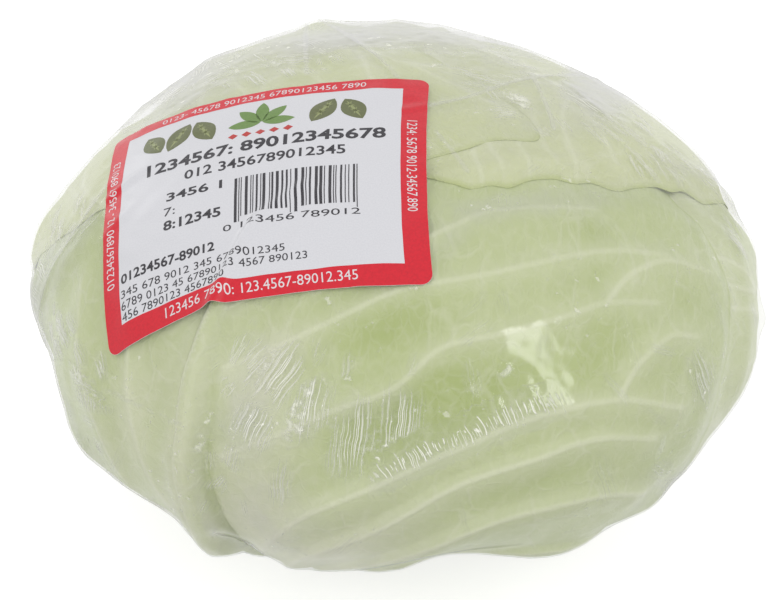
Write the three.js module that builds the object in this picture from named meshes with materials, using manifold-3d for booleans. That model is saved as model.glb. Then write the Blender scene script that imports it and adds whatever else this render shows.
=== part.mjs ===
// A flat-round white cabbage in clear shrink film, with a printed label on the film.
// Millimetres, +Z up. The pack stands upright on a small flat spot, stalk down, and the origin
// is the middle of that spot. Azimuth 0 is +X (the right side), -90 is the front, 180 the left
// side and 90 the back. Elevation 90 is the crown and -90 the stalk.
//
// Every layer is a surface seen from one centre inside the head: a radius for each direction.
// All layers use the same set of directions, so their facets run parallel and never touch.

import * as THREE from 'three';
import { mergeVertices } from 'three/addons/utils/BufferGeometryUtils.js';
import Module from 'manifold-3d';

const wasm = await Module();
wasm.setup();

// ---------------------------------------------------------------- driving dimensions

// The pack, measured to the outside of the film.
const HALF_WIDTH = 94.0;
const HALF_DEPTH = 91.5;
const HALF_HEIGHT = 57.5;
const CENTRE_HEIGHT = 55.0; // the centre of the head above the resting plane

// Swellings and hollows of the head: where they are, how far they reach and how high they stand.
const SWELLINGS = [
  { azimuth: 45, elevation: 25, reach: 22, height: -2.6 },
  { azimuth: 102, elevation: 34, reach: 22, height: 2.2 },
  { azimuth: 150, elevation: 18, reach: 16, height: -2.4 },
  { azimuth: -166, elevation: -3, reach: 12, height: -3.2 },
  { azimuth: -127, elevation: -24, reach: 11, height: 2.0 },
  { azimuth: -76, elevation: -26, reach: 12, height: -5.5 },
  { azimuth: -50, elevation: -19, reach: 13, height: 2.2 },
  { azimuth: -12, elevation: -2, reach: 12, height: 1.8 },
  { azimuth: 70, elevation: -25, reach: 30, height: 2.0 },
  { azimuth: 10, elevation: -35, reach: 20, height: -2.0 },
];

const FILM_THICKNESS = 0.4;
const LABEL_THICKNESS = 0.3;
const LEAF_THICKNESS = 1.2;
const GAP = 0.3; // between any two layers
const GRID_DETAIL = 6; // how finely the layers are faceted

// The wrapper leaves, from the innermost to the outermost. Each is placed by the direction of
// its middle. Its reach is the angle from there to its margin, first straight up towards the
// crown, and then in equal steps round to the right as seen from outside.
const LEAVES = [
  {
    name: 'right_leaf',
    colour: 0xc3cba1,
    azimuth: 15,
    elevation: -5,
    reach: [
      63, 62, 61, 59, 58, 56, 54, 52, 52, 53, 56, 62,
      70, 71, 69, 67, 66, 66, 65, 64, 63, 61, 61, 62,
    ],
  },
  {
    name: 'front_leaf',
    colour: 0xc0c8a1,
    azimuth: -97,
    elevation: 0,
    reach: [
      81, 80, 83, 90, 93, 83, 70, 64, 61, 62, 66, 73,
      75, 75, 76, 79, 84, 90, 94, 96, 96, 95, 92, 86,
    ],
  },
  {
    name: 'back_leaf',
    colour: 0xbfc7a6,
    azimuth: 80,
    elevation: 30,
    reach: [
      84, 74, 68, 64, 64, 66, 70, 76, 83, 90, 96, 102,
      103, 95, 85, 77, 70, 67, 68, 72, 76, 79, 84, 87,
    ],
  },
  {
    name: 'left_leaf',
    colour: 0xccd1af,
    azimuth: 148,
    elevation: 15,
    reach: [
      100, 92, 80, 63, 47, 38, 35, 33, 36, 42, 54, 80,
      84, 72, 61, 53, 48, 44, 42, 43, 48, 57, 74, 108,
    ],
  },
];
const MARGIN_STEPS = 72; // corners of a leaf's margin
const OVERLAP_CLEARANCE = 14; // how far past a leaf's margin the leaves under it stay pressed down
const OVERLAP_FADE = 12; // and how far it takes them to rise again

const STALK_RADIUS = 15;
const STALK_TOP = 17; // above the resting plane
const STALK_BOTTOM = 0.9;
const STALK_TAPER = 1.5; // the cut end is this much narrower than the top

const VENT_RADIUS = 2.5; // vent hole in the film, low at the back
const VENT_AZIMUTH = 90;
const VENT_ELEVATION = -35;

const LABEL_WIDTH = 82;
const LABEL_HEIGHT = 71.5;
const LABEL_CORNER = 3;
const LABEL_MIDDLE = new THREE.Vector3(-30.2, -23.0, 40.0); // from the centre of the head
const LABEL_FACING = direction(-138, 69);
const LABEL_RIGHT = new THREE.Vector3(0.963, -0.046, 0.266);

// ---------------------------------------------------------------- directions and radii

function direction(azimuth, elevation) {
  const a = THREE.MathUtils.degToRad(azimuth);
  const e = THREE.MathUtils.degToRad(elevation);
  return new THREE.Vector3(Math.cos(a) * Math.cos(e), Math.sin(a) * Math.cos(e), Math.sin(e));
}

function angleBetween(a, b) {
  return THREE.MathUtils.radToDeg(Math.acos(THREE.MathUtils.clamp(a.dot(b), -1, 1)));
}

// The radius of the outside of the film, cut off flat at the resting plane.
function packRadius(d) {
  let radius = 1 / Math.hypot(d.x / HALF_WIDTH, d.y / HALF_DEPTH, d.z / HALF_HEIGHT);
  for (const { azimuth, elevation, reach, height } of SWELLINGS) {
    const away = angleBetween(d, direction(azimuth, elevation)) / reach;
    radius += height * Math.exp(-away * away);
  }
  return d.z < 0 ? Math.min(radius, CENTRE_HEIGHT / -d.z) : radius;
}

// ---------------------------------------------------------------- leaf margins

// East (towards larger azimuths) and north (towards the crown) at the middle of a leaf.
function leafAxes(leaf) {
  const middle = direction(leaf.azimuth, leaf.elevation);
  const east = direction(leaf.azimuth + 90, 0);
  const north = new THREE.Vector3().crossVectors(middle, east);
  return { middle, east, north };
}

// The reach of a leaf towards a bearing in radians, on a smooth closed curve through its reaches.
function leafReach(leaf, bearing) {
  const count = leaf.reach.length;
  const place = ((bearing / (2 * Math.PI)) * count + count) % count;
  const step = Math.floor(place);
  const t = place - step;
  const [p0, p1, p2, p3] = [-1, 0, 1, 2].map((k) => leaf.reach[(step + k + count) % count]);
  const slopeIn = (p2 - p0) / 2;
  const slopeOut = (p3 - p1) / 2;
  const curve = (2 * (p1 - p2) + slopeIn + slopeOut) * t + 3 * (p2 - p1) - 2 * slopeIn - slopeOut;
  return p1 + slopeIn * t + curve * t * t;
}

function marginDirection(leaf, bearing) {
  const { middle, east, north } = leafAxes(leaf);
  const reach = THREE.MathUtils.degToRad(leafReach(leaf, bearing));
  return new THREE.Vector3()
    .addScaledVector(middle, Math.cos(reach))
    .addScaledVector(east, Math.sin(reach) * Math.sin(bearing))
    .addScaledVector(north, Math.sin(reach) * Math.cos(bearing));
}

// 1 where a leaf lies and a little past its margin, and 0 further away.
function leafCover(leaf, d) {
  const { middle, east, north } = leafAxes(leaf);
  const bearing = Math.atan2(d.dot(east), d.dot(north));
  const past = angleBetween(d, middle) - leafReach(leaf, bearing) - OVERLAP_CLEARANCE;
  return 1 - THREE.MathUtils.smoothstep(past, 0, OVERLAP_FADE);
}

// The room that the leaves outside layer number `layer` take up in a direction.
function roomOutside(layer, d) {
  let room = FILM_THICKNESS + GAP;
  for (const leaf of LEAVES.slice(layer)) {
    room += (LEAF_THICKNESS + GAP) * leafCover(leaf, d);
  }
  return room;
}

// ---------------------------------------------------------------- solids

function toManifold(geometry) {
  const bare = geometry.clone();
  bare.deleteAttribute('normal');
  bare.deleteAttribute('uv');
  const merged = mergeVertices(bare, 1e-4);
  const vertProperties = new Float32Array(merged.attributes.position.array);
  const triVerts = new Uint32Array(merged.index.array);
  return new wasm.Manifold(new wasm.Mesh({ numProp: 3, vertProperties, triVerts }));
}

function toGeometry(solid) {
  const { vertProperties, triVerts } = solid.getMesh();
  const geometry = new THREE.BufferGeometry();
  geometry.setAttribute('position', new THREE.BufferAttribute(vertProperties, 3));
  geometry.setIndex(new THREE.BufferAttribute(triVerts, 1));
  geometry.computeVertexNormals();
  return geometry;
}

// A solid that fills a radius function, on the directions that all layers share.
function filled(radiusOf) {
  const geometry = new THREE.IcosahedronGeometry(1, GRID_DETAIL);
  const position = geometry.attributes.position;
  const d = new THREE.Vector3();
  for (let i = 0; i < position.count; i++) {
    d.fromBufferAttribute(position, i).normalize();
    const radius = radiusOf(d);
    position.setXYZ(i, d.x * radius, d.y * radius, d.z * radius);
  }
  return toManifold(geometry);
}

// Everything inside a leaf's margin, as a cone from the centre of the head.
function marginCone(leaf) {
  const far = 4 * HALF_WIDTH;
  const corners = [0, 0, 0, ...leafAxes(leaf).middle.multiplyScalar(far).toArray()];
  const faces = [];
  for (let i = 0; i < MARGIN_STEPS; i++) {
    const bearing = (i / MARGIN_STEPS) * 2 * Math.PI;
    corners.push(...marginDirection(leaf, bearing).multiplyScalar(far).toArray());
    const here = 2 + i;
    const next = 2 + ((i + 1) % MARGIN_STEPS);
    faces.push(0, here, next, 1, next, here);
  }
  const cone = new THREE.BufferGeometry();
  cone.setAttribute('position', new THREE.Float32BufferAttribute(corners, 3));
  cone.setIndex(faces);
  return toManifold(cone);
}

// An upright round bar on the Z axis, between two heights above the resting plane.
function uprightBar(radiusBelow, radiusAbove, bottom, top) {
  const profile = [
    new THREE.Vector2(0, bottom - CENTRE_HEIGHT),
    new THREE.Vector2(radiusBelow, bottom - CENTRE_HEIGHT),
    new THREE.Vector2(radiusAbove, top - CENTRE_HEIGHT),
    new THREE.Vector2(0, top - CENTRE_HEIGHT),
  ];
  return toManifold(new THREE.LatheGeometry(profile, 32).rotateX(Math.PI / 2));
}

function buildHead() {
  const ball = filled((d) => packRadius(d) - roomOutside(0, d));
  const socket = uprightBar(STALK_RADIUS + GAP, STALK_RADIUS + GAP, -GAP, STALK_TOP + GAP);
  return ball.subtract(socket);
}

function buildStalk() {
  return uprightBar(STALK_RADIUS - STALK_TAPER, STALK_RADIUS, STALK_BOTTOM, STALK_TOP);
}

function buildLeaf(layer) {
  const outside = filled((d) => packRadius(d) - roomOutside(layer + 1, d));
  const inside = filled((d) => packRadius(d) - roomOutside(layer + 1, d) - LEAF_THICKNESS);
  const roundStalk = uprightBar(STALK_RADIUS + GAP, STALK_RADIUS + GAP, -GAP, STALK_TOP);
  return outside.subtract(inside).intersect(marginCone(LEAVES[layer])).subtract(roundStalk);
}

function buildFilm() {
  const outside = filled(packRadius);
  const inside = filled((d) => packRadius(d) - FILM_THICKNESS);
  const way = direction(VENT_AZIMUTH, VENT_ELEVATION);
  const vent = new THREE.CylinderGeometry(VENT_RADIUS, VENT_RADIUS, HALF_WIDTH, 20);
  vent.applyQuaternion(new THREE.Quaternion().setFromUnitVectors(new THREE.Vector3(0, 1, 0), way));
  vent.translate(...way.multiplyScalar(HALF_WIDTH).toArray());
  return outside.subtract(inside).subtract(toManifold(vent));
}

// A rounded rectangle facing along the label's direction, long enough to pass through the film.
function labelPrism() {
  const [x, y, r] = [LABEL_WIDTH / 2, LABEL_HEIGHT / 2, LABEL_CORNER];
  const outline = new THREE.Shape();
  outline.absarc(x - r, y - r, r, 0, Math.PI / 2);
  outline.absarc(r - x, y - r, r, Math.PI / 2, Math.PI);
  outline.absarc(r - x, r - y, r, Math.PI, 1.5 * Math.PI);
  outline.absarc(x - r, r - y, r, 1.5 * Math.PI, 2 * Math.PI);
  const prism = new THREE.ExtrudeGeometry(outline, {
    depth: HALF_HEIGHT,
    bevelEnabled: false,
    curveSegments: 4,
  });
  prism.translate(0, 0, -HALF_HEIGHT / 2);
  const up = new THREE.Vector3().crossVectors(LABEL_FACING, LABEL_RIGHT).normalize();
  const right = new THREE.Vector3().crossVectors(up, LABEL_FACING);
  prism.applyMatrix4(new THREE.Matrix4().makeBasis(right, up, LABEL_FACING));
  prism.translate(...LABEL_MIDDLE.toArray());
  return toManifold(prism);
}

function buildLabel() {
  const outside = filled((d) => packRadius(d) + GAP + LABEL_THICKNESS);
  const inside = filled((d) => packRadius(d) + GAP);
  return outside.subtract(inside).intersect(labelPrism());
}

// ---------------------------------------------------------------- the pack

function piece(name, solid, color, roughness) {
  const material = new THREE.MeshStandardMaterial({ color, roughness, metalness: 0 });
  const mesh = new THREE.Mesh(toGeometry(solid), material);
  mesh.name = name;
  return mesh;
}

const pack = new THREE.Group();
pack.position.z = CENTRE_HEIGHT;
pack.add(piece('head', buildHead(), 0xd3dab0, 0.6));
pack.add(piece('stalk', buildStalk(), 0xe2e3c8, 0.75));
LEAVES.forEach((leaf, layer) => {
  pack.add(piece(leaf.name, buildLeaf(layer), leaf.colour, 0.55));
});
pack.add(piece('film', buildFilm(), 0xe6e8e0, 0.12));
pack.add(piece('label', buildLabel(), 0xd6d6da, 0.4));

const cabbage = new THREE.Group();
cabbage.add(pack);

export default cabbage;
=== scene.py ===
"""A flat-round white cabbage in clear shrink film, with a printed label on the film.

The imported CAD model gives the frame. Its smooth layers are replaced here by detailed meshes that
follow the same surfaces: leaves with ribs, hollows and wavy margins, a film stretched over them,
and a label that lies on the film. Lengths are in millimetres while a surface is worked out, and
in metres in the meshes. Azimuth 0 is +X (the right side), -90 the front, 180 the left side.
"""

import math

import bmesh
import bpy
import numpy as np
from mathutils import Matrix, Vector
from mathutils.bvhtree import BVHTree


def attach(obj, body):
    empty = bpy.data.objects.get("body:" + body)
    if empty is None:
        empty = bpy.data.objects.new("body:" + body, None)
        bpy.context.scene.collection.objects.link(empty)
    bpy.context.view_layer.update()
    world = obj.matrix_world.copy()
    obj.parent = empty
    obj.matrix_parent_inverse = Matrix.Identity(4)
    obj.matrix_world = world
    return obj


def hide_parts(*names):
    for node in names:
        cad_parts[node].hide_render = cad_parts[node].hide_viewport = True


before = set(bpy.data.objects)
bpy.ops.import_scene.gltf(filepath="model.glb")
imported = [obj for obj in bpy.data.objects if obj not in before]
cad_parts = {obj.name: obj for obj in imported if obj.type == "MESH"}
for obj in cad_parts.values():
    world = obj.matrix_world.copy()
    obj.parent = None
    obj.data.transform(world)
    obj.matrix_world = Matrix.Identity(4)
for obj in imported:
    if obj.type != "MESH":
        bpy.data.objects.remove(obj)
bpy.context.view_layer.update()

METRES = 0.001
MEAN_RADIUS = 88.0  # of the film in mm, for turning mm beside a rib into an angle
WAVE_RADIUS = 80.0  # of the ball in mm that random waves are drawn on

# ---------------------------------------------------------------- the form, as in the CAD model

HALF_WIDTH, HALF_DEPTH, HALF_HEIGHT = 94.0, 91.5, 57.5
CENTRE_HEIGHT = 55.0
# azimuth, elevation, reach in degrees, height in mm
SWELLINGS = [
    (45, 25, 22, -2.6),
    (102, 34, 22, 2.2),
    (150, 18, 16, -2.4),
    (-166, -3, 12, -3.2),
    (-127, -24, 11, 2.0),
    (-76, -26, 12, -5.5),
    (-50, -19, 13, 2.2),
    (-12, -2, 12, 1.8),
    (70, -25, 30, 2.0),
    (10, -35, 20, -2.0),
]
# Corners and dents too small for the CAD model's smooth form.
SMALL_SWELLINGS = [
    (4, 9, 6, 2.2),
    (45, 26, 12, 1.8),
    (58, 31, 14, 0.8),
    (95, 32, 14, 0.9),
    (107, 31, 4, 1.5),
    (136, 27, 4, 1.6),
    (151, 20, 5, 0.9),
    (172, 6, 6, 2.9),
    (-176, 5, 6, 2.0),
    (-174, 1, 5, 0.7),
    (-163, -3, 6, 0.8),
    (-168, -4, 5, -1.0),
    (-153, -11, 6.5, 3.2),
    (-134, -18, 5, -3.0),
    (-127, -21, 3.5, 1.7),
    (-120, -29, 6, -3.3),
    (-109, -22, 4, 1.2),
    (-100, -25, 12, -0.4),
    (-78, -25, 6, -1.6),
    (-80, -17, 6, 0.8),
    (-63, -22, 7, 2.9),
    (-51, -20, 3.5, -0.8),
    (-41, -17, 4, 1.8),
    (-36, -15, 5, 1.0),
    (-31, -15, 5, 2.4),
    (-27, -8, 5, 1.2),
    (22, 19, 10, 0.7),
    (-16, -5, 6, 1.2),
]
FILM_ROOM = 0.7  # from the outside of the film to the outermost leaf
LEAF_THICKNESS = 1.1
MARGIN_THICKNESS = 0.3
MARGIN_TAPER = 6.0  # degrees over which a leaf thins towards its margin and settles on the next
MARGIN_DIP = 1.15  # how far the margin settles
GAP = 0.3  # between one leaf and the next
OVERLAP_CLEARANCE = 2.0  # degrees past a margin where the leaf below stays pressed down
OVERLAP_FADE = 7.0  # degrees over which it comes up again

LEAVES = [
    {
        "name": "right_leaf",
        "azimuth": 15,
        "elevation": -5,
        "reach": [63, 62, 61, 59, 58, 56, 54, 52, 52, 53, 56, 62,
                  70, 71, 69, 67, 66, 66, 65, 64, 63, 61, 61, 62],
    },
    {
        "name": "front_leaf",
        "azimuth": -97,
        "elevation": 0,
        "reach": [81, 80, 83, 90, 93, 83, 70, 64, 61, 62, 66, 73,
                  75, 75, 76, 79, 84, 90, 94, 96, 96, 95, 92, 86],
    },
    {
        "name": "back_leaf",
        "azimuth": 80,
        "elevation": 30,
        "reach": [84, 74, 68, 64, 64, 66, 70, 76, 83, 90, 96, 102,
                  103, 95, 85, 77, 70, 67, 68, 72, 76, 79, 84, 87],
    },
    {
        "name": "left_leaf",
        "azimuth": 148,
        "elevation": 15,
        "reach": [100, 92, 80, 63, 47, 38, 35, 33, 36, 42, 54, 80,
                  84, 72, 61, 53, 48, 44, 42, 43, 48, 57, 74, 108],
    },
]


def direction(azimuth, elevation):
    a, e = math.radians(azimuth), math.radians(elevation)
    return np.array([math.cos(a) * math.cos(e), math.sin(a) * math.cos(e), math.sin(e)])


def directions(places):
    return [direction(azimuth, elevation) for azimuth, elevation in places]


def axes_at(azimuth, elevation):
    """Outwards, to the right and upwards at a place on the form."""
    outwards, right = direction(azimuth, elevation), direction(azimuth + 90, 0)
    return outwards, right, np.cross(outwards, right)


def turned(degrees):
    """The cosine and the sine of an angle."""
    return math.cos(math.radians(degrees)), math.sin(math.radians(degrees))


def smoothstep(x, low, high):
    t = np.clip((x - low) / (high - low), 0, 1)
    return t * t * (3 - 2 * t)


def angle_to(d, target):
    return np.degrees(np.arccos(np.clip(d @ target, -1, 1)))


def pack_radius(d):
    """The radius of the outside of the film for rows of directions."""
    size = np.array([HALF_WIDTH, HALF_DEPTH, HALF_HEIGHT])
    radius = 1 / np.linalg.norm(d / size, axis=1)
    for azimuth, elevation, reach, height in SWELLINGS + SMALL_SWELLINGS:
        radius += height * np.exp(-(angle_to(d, direction(azimuth, elevation)) / reach) ** 2)
    return radius


def flat_limit(d, clearance):
    """The radius at which a direction meets the level that lies `clearance` above the floor."""
    down = np.maximum(-d[:, 2], 1e-6)
    return (CENTRE_HEIGHT - clearance) / down


# ---------------------------------------------------------------- leaf charts and margins


def leaf_reach(leaf, bearing):
    """The reach of a leaf in degrees towards bearings in radians: a smooth closed curve."""
    reach = np.array(leaf["reach"], float)
    count = len(reach)
    place = (bearing / (2 * math.pi) * count) % count
    step = np.floor(place).astype(int) % count
    t = place - np.floor(place)
    p0, p1, p2, p3 = (reach[(step + k) % count] for k in (-1, 0, 1, 2))
    slope_in, slope_out = (p2 - p0) / 2, (p3 - p1) / 2
    curve = (2 * (p1 - p2) + slope_in + slope_out) * t + 3 * (p2 - p1) - 2 * slope_in - slope_out
    smooth = p1 + slope_in * t + curve * t * t
    for waves, height, phase in leaf.get("waves", ()):
        smooth = smooth + height * np.sin(waves * bearing + phase)
    return smooth


def chart(leaf, d):
    """The angle from a leaf's middle in degrees and the bearing in radians, for directions."""
    middle, east, north = axes_at(leaf["azimuth"], leaf["elevation"])
    return angle_to(d, middle), np.arctan2(d @ east, d @ north)


def unchart(leaf, angle, bearing):
    """The directions at angles in degrees and bearings in radians from a leaf's middle."""
    middle, east, north = axes_at(leaf["azimuth"], leaf["elevation"])
    a = np.radians(angle)
    across = np.sin(bearing)[:, None] * east + np.cos(bearing)[:, None] * north
    return np.cos(a)[:, None] * middle + np.sin(a)[:, None] * across


def past_margin(leaf, d):
    angle, bearing = chart(leaf, d)
    return angle - leaf_reach(leaf, bearing)


def cover(leaf, d):
    return 1 - smoothstep(past_margin(leaf, d) - OVERLAP_CLEARANCE, 0, OVERLAP_FADE)


# ---------------------------------------------------------------- ribs


NO_RIB = 99.0  # a distance in mm that stands for no rib nearby
RIB_RANGE = 0.97  # the cosine of the angle beyond which there is none


def smooth_path(points, count):
    """Points along a smooth curve through unit vectors, as unit vectors."""
    p = np.array(points, float)
    p = np.vstack([2 * p[0] - p[1], p, 2 * p[-1] - p[-2]])
    spans = len(p) - 3
    place = np.linspace(0, spans, count)
    step = np.minimum(place.astype(int), spans - 1)
    t = (place - step)[:, None]
    p0, p1, p2, p3 = (p[step + k] for k in range(4))
    curve = 0.5 * (
        2 * p1
        + (p2 - p0) * t
        + (2 * p0 - 5 * p1 + 4 * p2 - p3) * t * t
        + (3 * p1 - p0 - 3 * p2 + p3) * t**3
    )
    return curve / np.linalg.norm(curve, axis=1)[:, None]


def make_rib(points, width, height, line=1.0, above=1.0, below=1.0, power=2):
    """A rib along unit vectors. Width and height in mm are given at even steps along it. `line`
    is how clearly its crest shows, `above` and `below` widen its two sides, and a higher `power`
    makes its top flatter."""
    path = smooth_path(points, 90)
    tangent = np.gradient(path, axis=0)
    side = np.cross(path, tangent)
    side /= np.linalg.norm(side, axis=1)[:, None]
    return {"path": path, "tangent": tangent, "side": side, "width": width, "height": height,
            "line": line, "above": above, "below": below, "power": power}


def along_rib(values, along):
    """Values given at even steps along a rib, read at shares of its length."""
    return np.interp(along, np.linspace(0, 1, len(values)), values)


def beside_rib(rib, offsets):
    """Directions that run to the left of a rib, by mm given at even steps along it."""
    offset = along_rib(offsets, np.linspace(0, 1, len(rib["path"])))[:, None] / MEAN_RADIUS
    moved = rib["path"] + rib["side"] * offset
    return moved / np.linalg.norm(moved, axis=1)[:, None]


def rib_reading(rib, d, radius):
    """For directions: how far beside a rib in mm (signed), how far along from 0 to 1, and the
    distance past its ends in mm."""
    nearness = d @ rib["path"].T
    nearest = np.argmax(nearness, axis=1)
    path, tangent = rib["path"][nearest], rib["tangent"][nearest]
    beside = np.einsum("ij,ij->i", d, rib["side"][nearest]) * radius
    pace = np.linalg.norm(tangent, axis=1)
    place = nearest + np.einsum("ij,ij->i", d - path, tangent) / pace**2
    last = len(rib["path"]) - 1
    past = (np.maximum(-place, 0) + np.maximum(place - last, 0)) * pace * radius
    past[nearness.max(axis=1) < RIB_RANGE] = NO_RIB
    return beside, np.clip(place / last, 0, 1), past


def rib_relief(ribs, d, radius):
    """Height of all ribs in mm, the distance to the nearest crest in mm, and its clearness."""
    height = np.zeros(len(d))
    distance = np.full(len(d), NO_RIB)
    strength = np.zeros(len(d))
    for rib in ribs:
        middle = rib["path"].mean(axis=0)
        middle /= np.linalg.norm(middle)
        spread = (rib["path"] @ middle).min()
        near = np.nonzero(d @ middle > math.cos(math.acos(max(spread, -1)) + 0.35))[0]
        if len(near) == 0:
            continue
        beside, along, past = rib_reading(rib, d[near], radius[near])
        width, tall = along_rib(rib["width"], along), along_rib(rib["height"], along)
        width = width * np.where(beside > 0, rib["above"], rib["below"])
        ends = np.exp(-((past / 2.5) ** 2))
        shape = tall * ends * np.exp(-np.abs(beside / width) ** rib["power"])
        if rib["height"][0] < 0:
            height[near] += shape
            continue
        np.maximum.at(height, near, shape)
        away = np.hypot(beside, past)
        closer = away < distance[near]
        distance[near[closer]] = away[closer]
        strength[near[closer]] = (rib["line"] * ends * (1 - 0.45 * along))[closer]
    return height, distance, strength


def chart_rib(leaf, points, width, height):
    """A rib through (sideways, upwards) places in degrees on a leaf's chart."""
    p = np.array(points, float)
    d = unchart(leaf, np.hypot(p[:, 0], p[:, 1]), np.arctan2(p[:, 0], p[:, 1]))
    return make_rib(d, width, height, 0.8)


def feathered_ribs(leaf, tip_bearing, pairs):
    """A midrib from the stalk towards the tip, with forked side ribs that leave it by turns."""
    tip = math.radians(tip_bearing)
    base = leaf_reach(leaf, np.array([math.pi]))[0] - 4
    top = leaf_reach(leaf, np.array([tip]))[0] * 0.92
    end = np.array([math.sin(tip), math.cos(tip)]) * top
    start = np.array([0, -base])
    middle = [start + (end - start) * t for t in (0, 0.3, 0.65, 1)]
    middle[1] = middle[1] + [2.5, 0]
    middle[2] = middle[2] - [2.0, 0]
    ribs = [chart_rib(leaf, middle, (4.5, 1.0), (2.4, 0.4))]
    for i in range(2 * pairs):
        t = 0.06 + 0.4 * i / pairs
        side = -1 if i % 2 else 1
        foot = start + (end - start) * t
        foot[0] += 2.0 * math.sin(2 * math.pi * t)
        length = (0.95 - 0.5 * t) * base * (0.8 + 0.1 * math.sin(2.3 * i))
        out = np.array([side * length, length * (0.45 + 0.3 * t)])
        bend = np.array([0, 4.0 * math.sin(1.7 * i)])
        path = [foot, foot + out * [0.3, 0.45], foot + out * [0.65, 0.6] + bend, foot + out]
        ribs.append(chart_rib(leaf, path, (2.6, 1.2), (0.9 - 0.4 * t, 0.15)))
        fork = path[1 + i % 2]
        way = out * [0.32, 0.75]
        twig = [fork, fork + way * [0.3, 0.55], fork + way]
        ribs.append(chart_rib(leaf, twig, (1.6, 0.9), (0.35, 0.05)))
    return ribs


# The front leaf's ribs, each through (azimuth, elevation) places. Most side ribs leave the midrib
# low at the left and sweep round to the right, and the last three run to the left of it.
FRONT_MIDRIB = [(-122.5, -62), (-122, -40), (-122, -20), (-121.9, -9), (-122.8, 0), (-123, 8),
                (-124.2, 15), (-125, 22), (-126, 28), (-127, 36), (-124, 45)]
FRONT_SIDE_RIBS = [
    [(-115, -21), (-110, -11), (-103, -2), (-90, 5.6), (-78, 10), (-66, 12.3), (-52, 10.6), (-40, 4)],
    [(-114, -31), (-105, -15), (-92, -4), (-81, 3.6), (-69, 6.1), (-57, 6.2), (-46, 1.6)],
    [(-114, -41), (-103, -24), (-83, -8), (-71, -3), (-57, -4), (-47, -9)],
    [(-114, -49), (-98, -34), (-80, -22), (-66, -17), (-52, -19)],
    [(-117, 5), (-110, 9.5), (-100, 15), (-90, 18.7), (-81, 24.7), (-70, 25.6), (-57, 25.3),
     (-46, 24.3), (-36, 20)],
    [(-120, 18), (-112, 23), (-102, 29), (-88, 35), (-70, 36), (-40, 32), (-26, 24)],
    [(-124, 27), (-112, 36), (-100, 40), (-88, 43), (-72, 47), (-55, 48), (-30, 38)],
    [(-46, 24.3), (-38, 26), (-28, 24), (-20, 17)],
    [(-52, 10.6), (-46, 14), (-38, 15), (-32, 12)],
    [(-128, -26), (-136, -12), (-142, 0), (-150, 10), (-158, 17)],
    [(-128, -10), (-133, 3), (-139, 14), (-147, 24)],
    [(-128, -42), (-142, -30), (-156, -18), (-168, -8)],
]
LOW_RIBS = 4  # so many of them, the first, are the broad ones low on the leaf
# Half the midrib's width in mm at even steps along it.
MIDRIB_WIDTH = (4.2, 3.7, 3.3, 3.1, 1.9, 1.0)


def front_ribs():
    """The side ribs, the broad midrib with a clear pale line along its left edge, a small rib whose
    strong pale crest is partly vein colour and partly a painted highlight, and the furrow along its
    right edge."""
    midrib = make_rib(directions(FRONT_MIDRIB), MIDRIB_WIDTH, (4.2, 3.4, 1.2), 0.0, power=4)
    ribs = []
    for i, places in enumerate(FRONT_SIDE_RIBS):
        low = i < LOW_RIBS
        width = (3.6, 2.2) if low else (3.0, 1.8)
        height = (0.8, 1.9, 1.8, 1.1) if low else (0.6, 1.1, 0.5)
        sides = (0.6, 1.9) if low else (0.9, 1.3)
        line = 1.0 if low else 0.75
        ribs.append(make_rib(directions(places), width, height, line, *sides))
    ribs.append(midrib)
    # a small rib along the midrib's left edge: its strong pale crest is partly vein colour and partly
    # a painted highlight
    lit_left_edge = beside_rib(midrib, [0.88 * width for width in MIDRIB_WIDTH])
    ribs.append(make_rib(lit_left_edge, (1.1,), (0.65,), 1.8))
    right_edge = beside_rib(midrib, [-0.9 - width for width in MIDRIB_WIDTH])
    ribs.append(make_rib(right_edge, (1.8, 1.7, 1.6, 1.2), (-4.2, -3.5, -2.0, -0.5, -0.1, 0)))
    return ribs


# ---------------------------------------------------------------- leaf surfaces


def wobble(p, size, seed):
    """Smooth random waves, mostly from -1 to 1 and about `size` mm long, at points in mm."""
    draw = np.random.default_rng(seed)
    total = np.zeros(len(p))
    for _ in range(14):
        way = draw.normal(size=3)
        way *= 2 * math.pi / (size * draw.uniform(0.7, 1.5)) / np.linalg.norm(way)
        total += np.sin(p @ way + draw.uniform(0, 2 * math.pi))
    return total / 5.0


# Pockets of air between the leaves and the film: azimuth, elevation, reach along and across in
# degrees, the way the long side points in degrees up from the right, how far the leaves lie back
# in mm, and how far the film stands out.
AIR_POCKETS = [
    (2, 16, 14, 6, -55, 1.1, 0.0),
    (-20, 4, 16, 6, -60, 0.5, 0.0),
    (42, 27, 26, 9, -30, 1.6, 0.0),
    (-50, 49, 26, 5, -12, 1.2, 0.0),
    (100, 44, 26, 9, 5, 1.6, 0.0),
    (146, 24, 20, 8, 32, 2.2, 0.3),
    (176, 14, 14, 9, 60, 1.8, 0.0),
    (-163, 5, 15, 6, 60, 0.9, 0.0),
]

# Where the film is cloudy: as above, with the strength of the haze.
CLOUDS = [
    (28, 36, 30, 8, -38, 0.8),
    (98, 50, 36, 15, 2, 0.85),
    (148, 33, 28, 13, 35, 0.72),
    (20, 62, 46, 26, 0, 0.42),
    (-40, 45, 28, 5, -22, 0.6),
    (-73, 45, 10, 4, 30, 0.4),
    (6, 20, 22, 6, -58, 0.45),
    (-36, -16, 10, 4, -45, 0.6),
    (-166, 16, 9, 6, 70, 0.45),
    (-172, 6, 18, 7, 80, 0.55),
    (-150, -8, 20, 5, -35, 0.35),
    (-113, 14, 12, 7, 80, 0.6),
    (-110, -3, 13, 9, 85, 0.4),
    (-98, 14, 8, 5, 0, 0.4),
]

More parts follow.
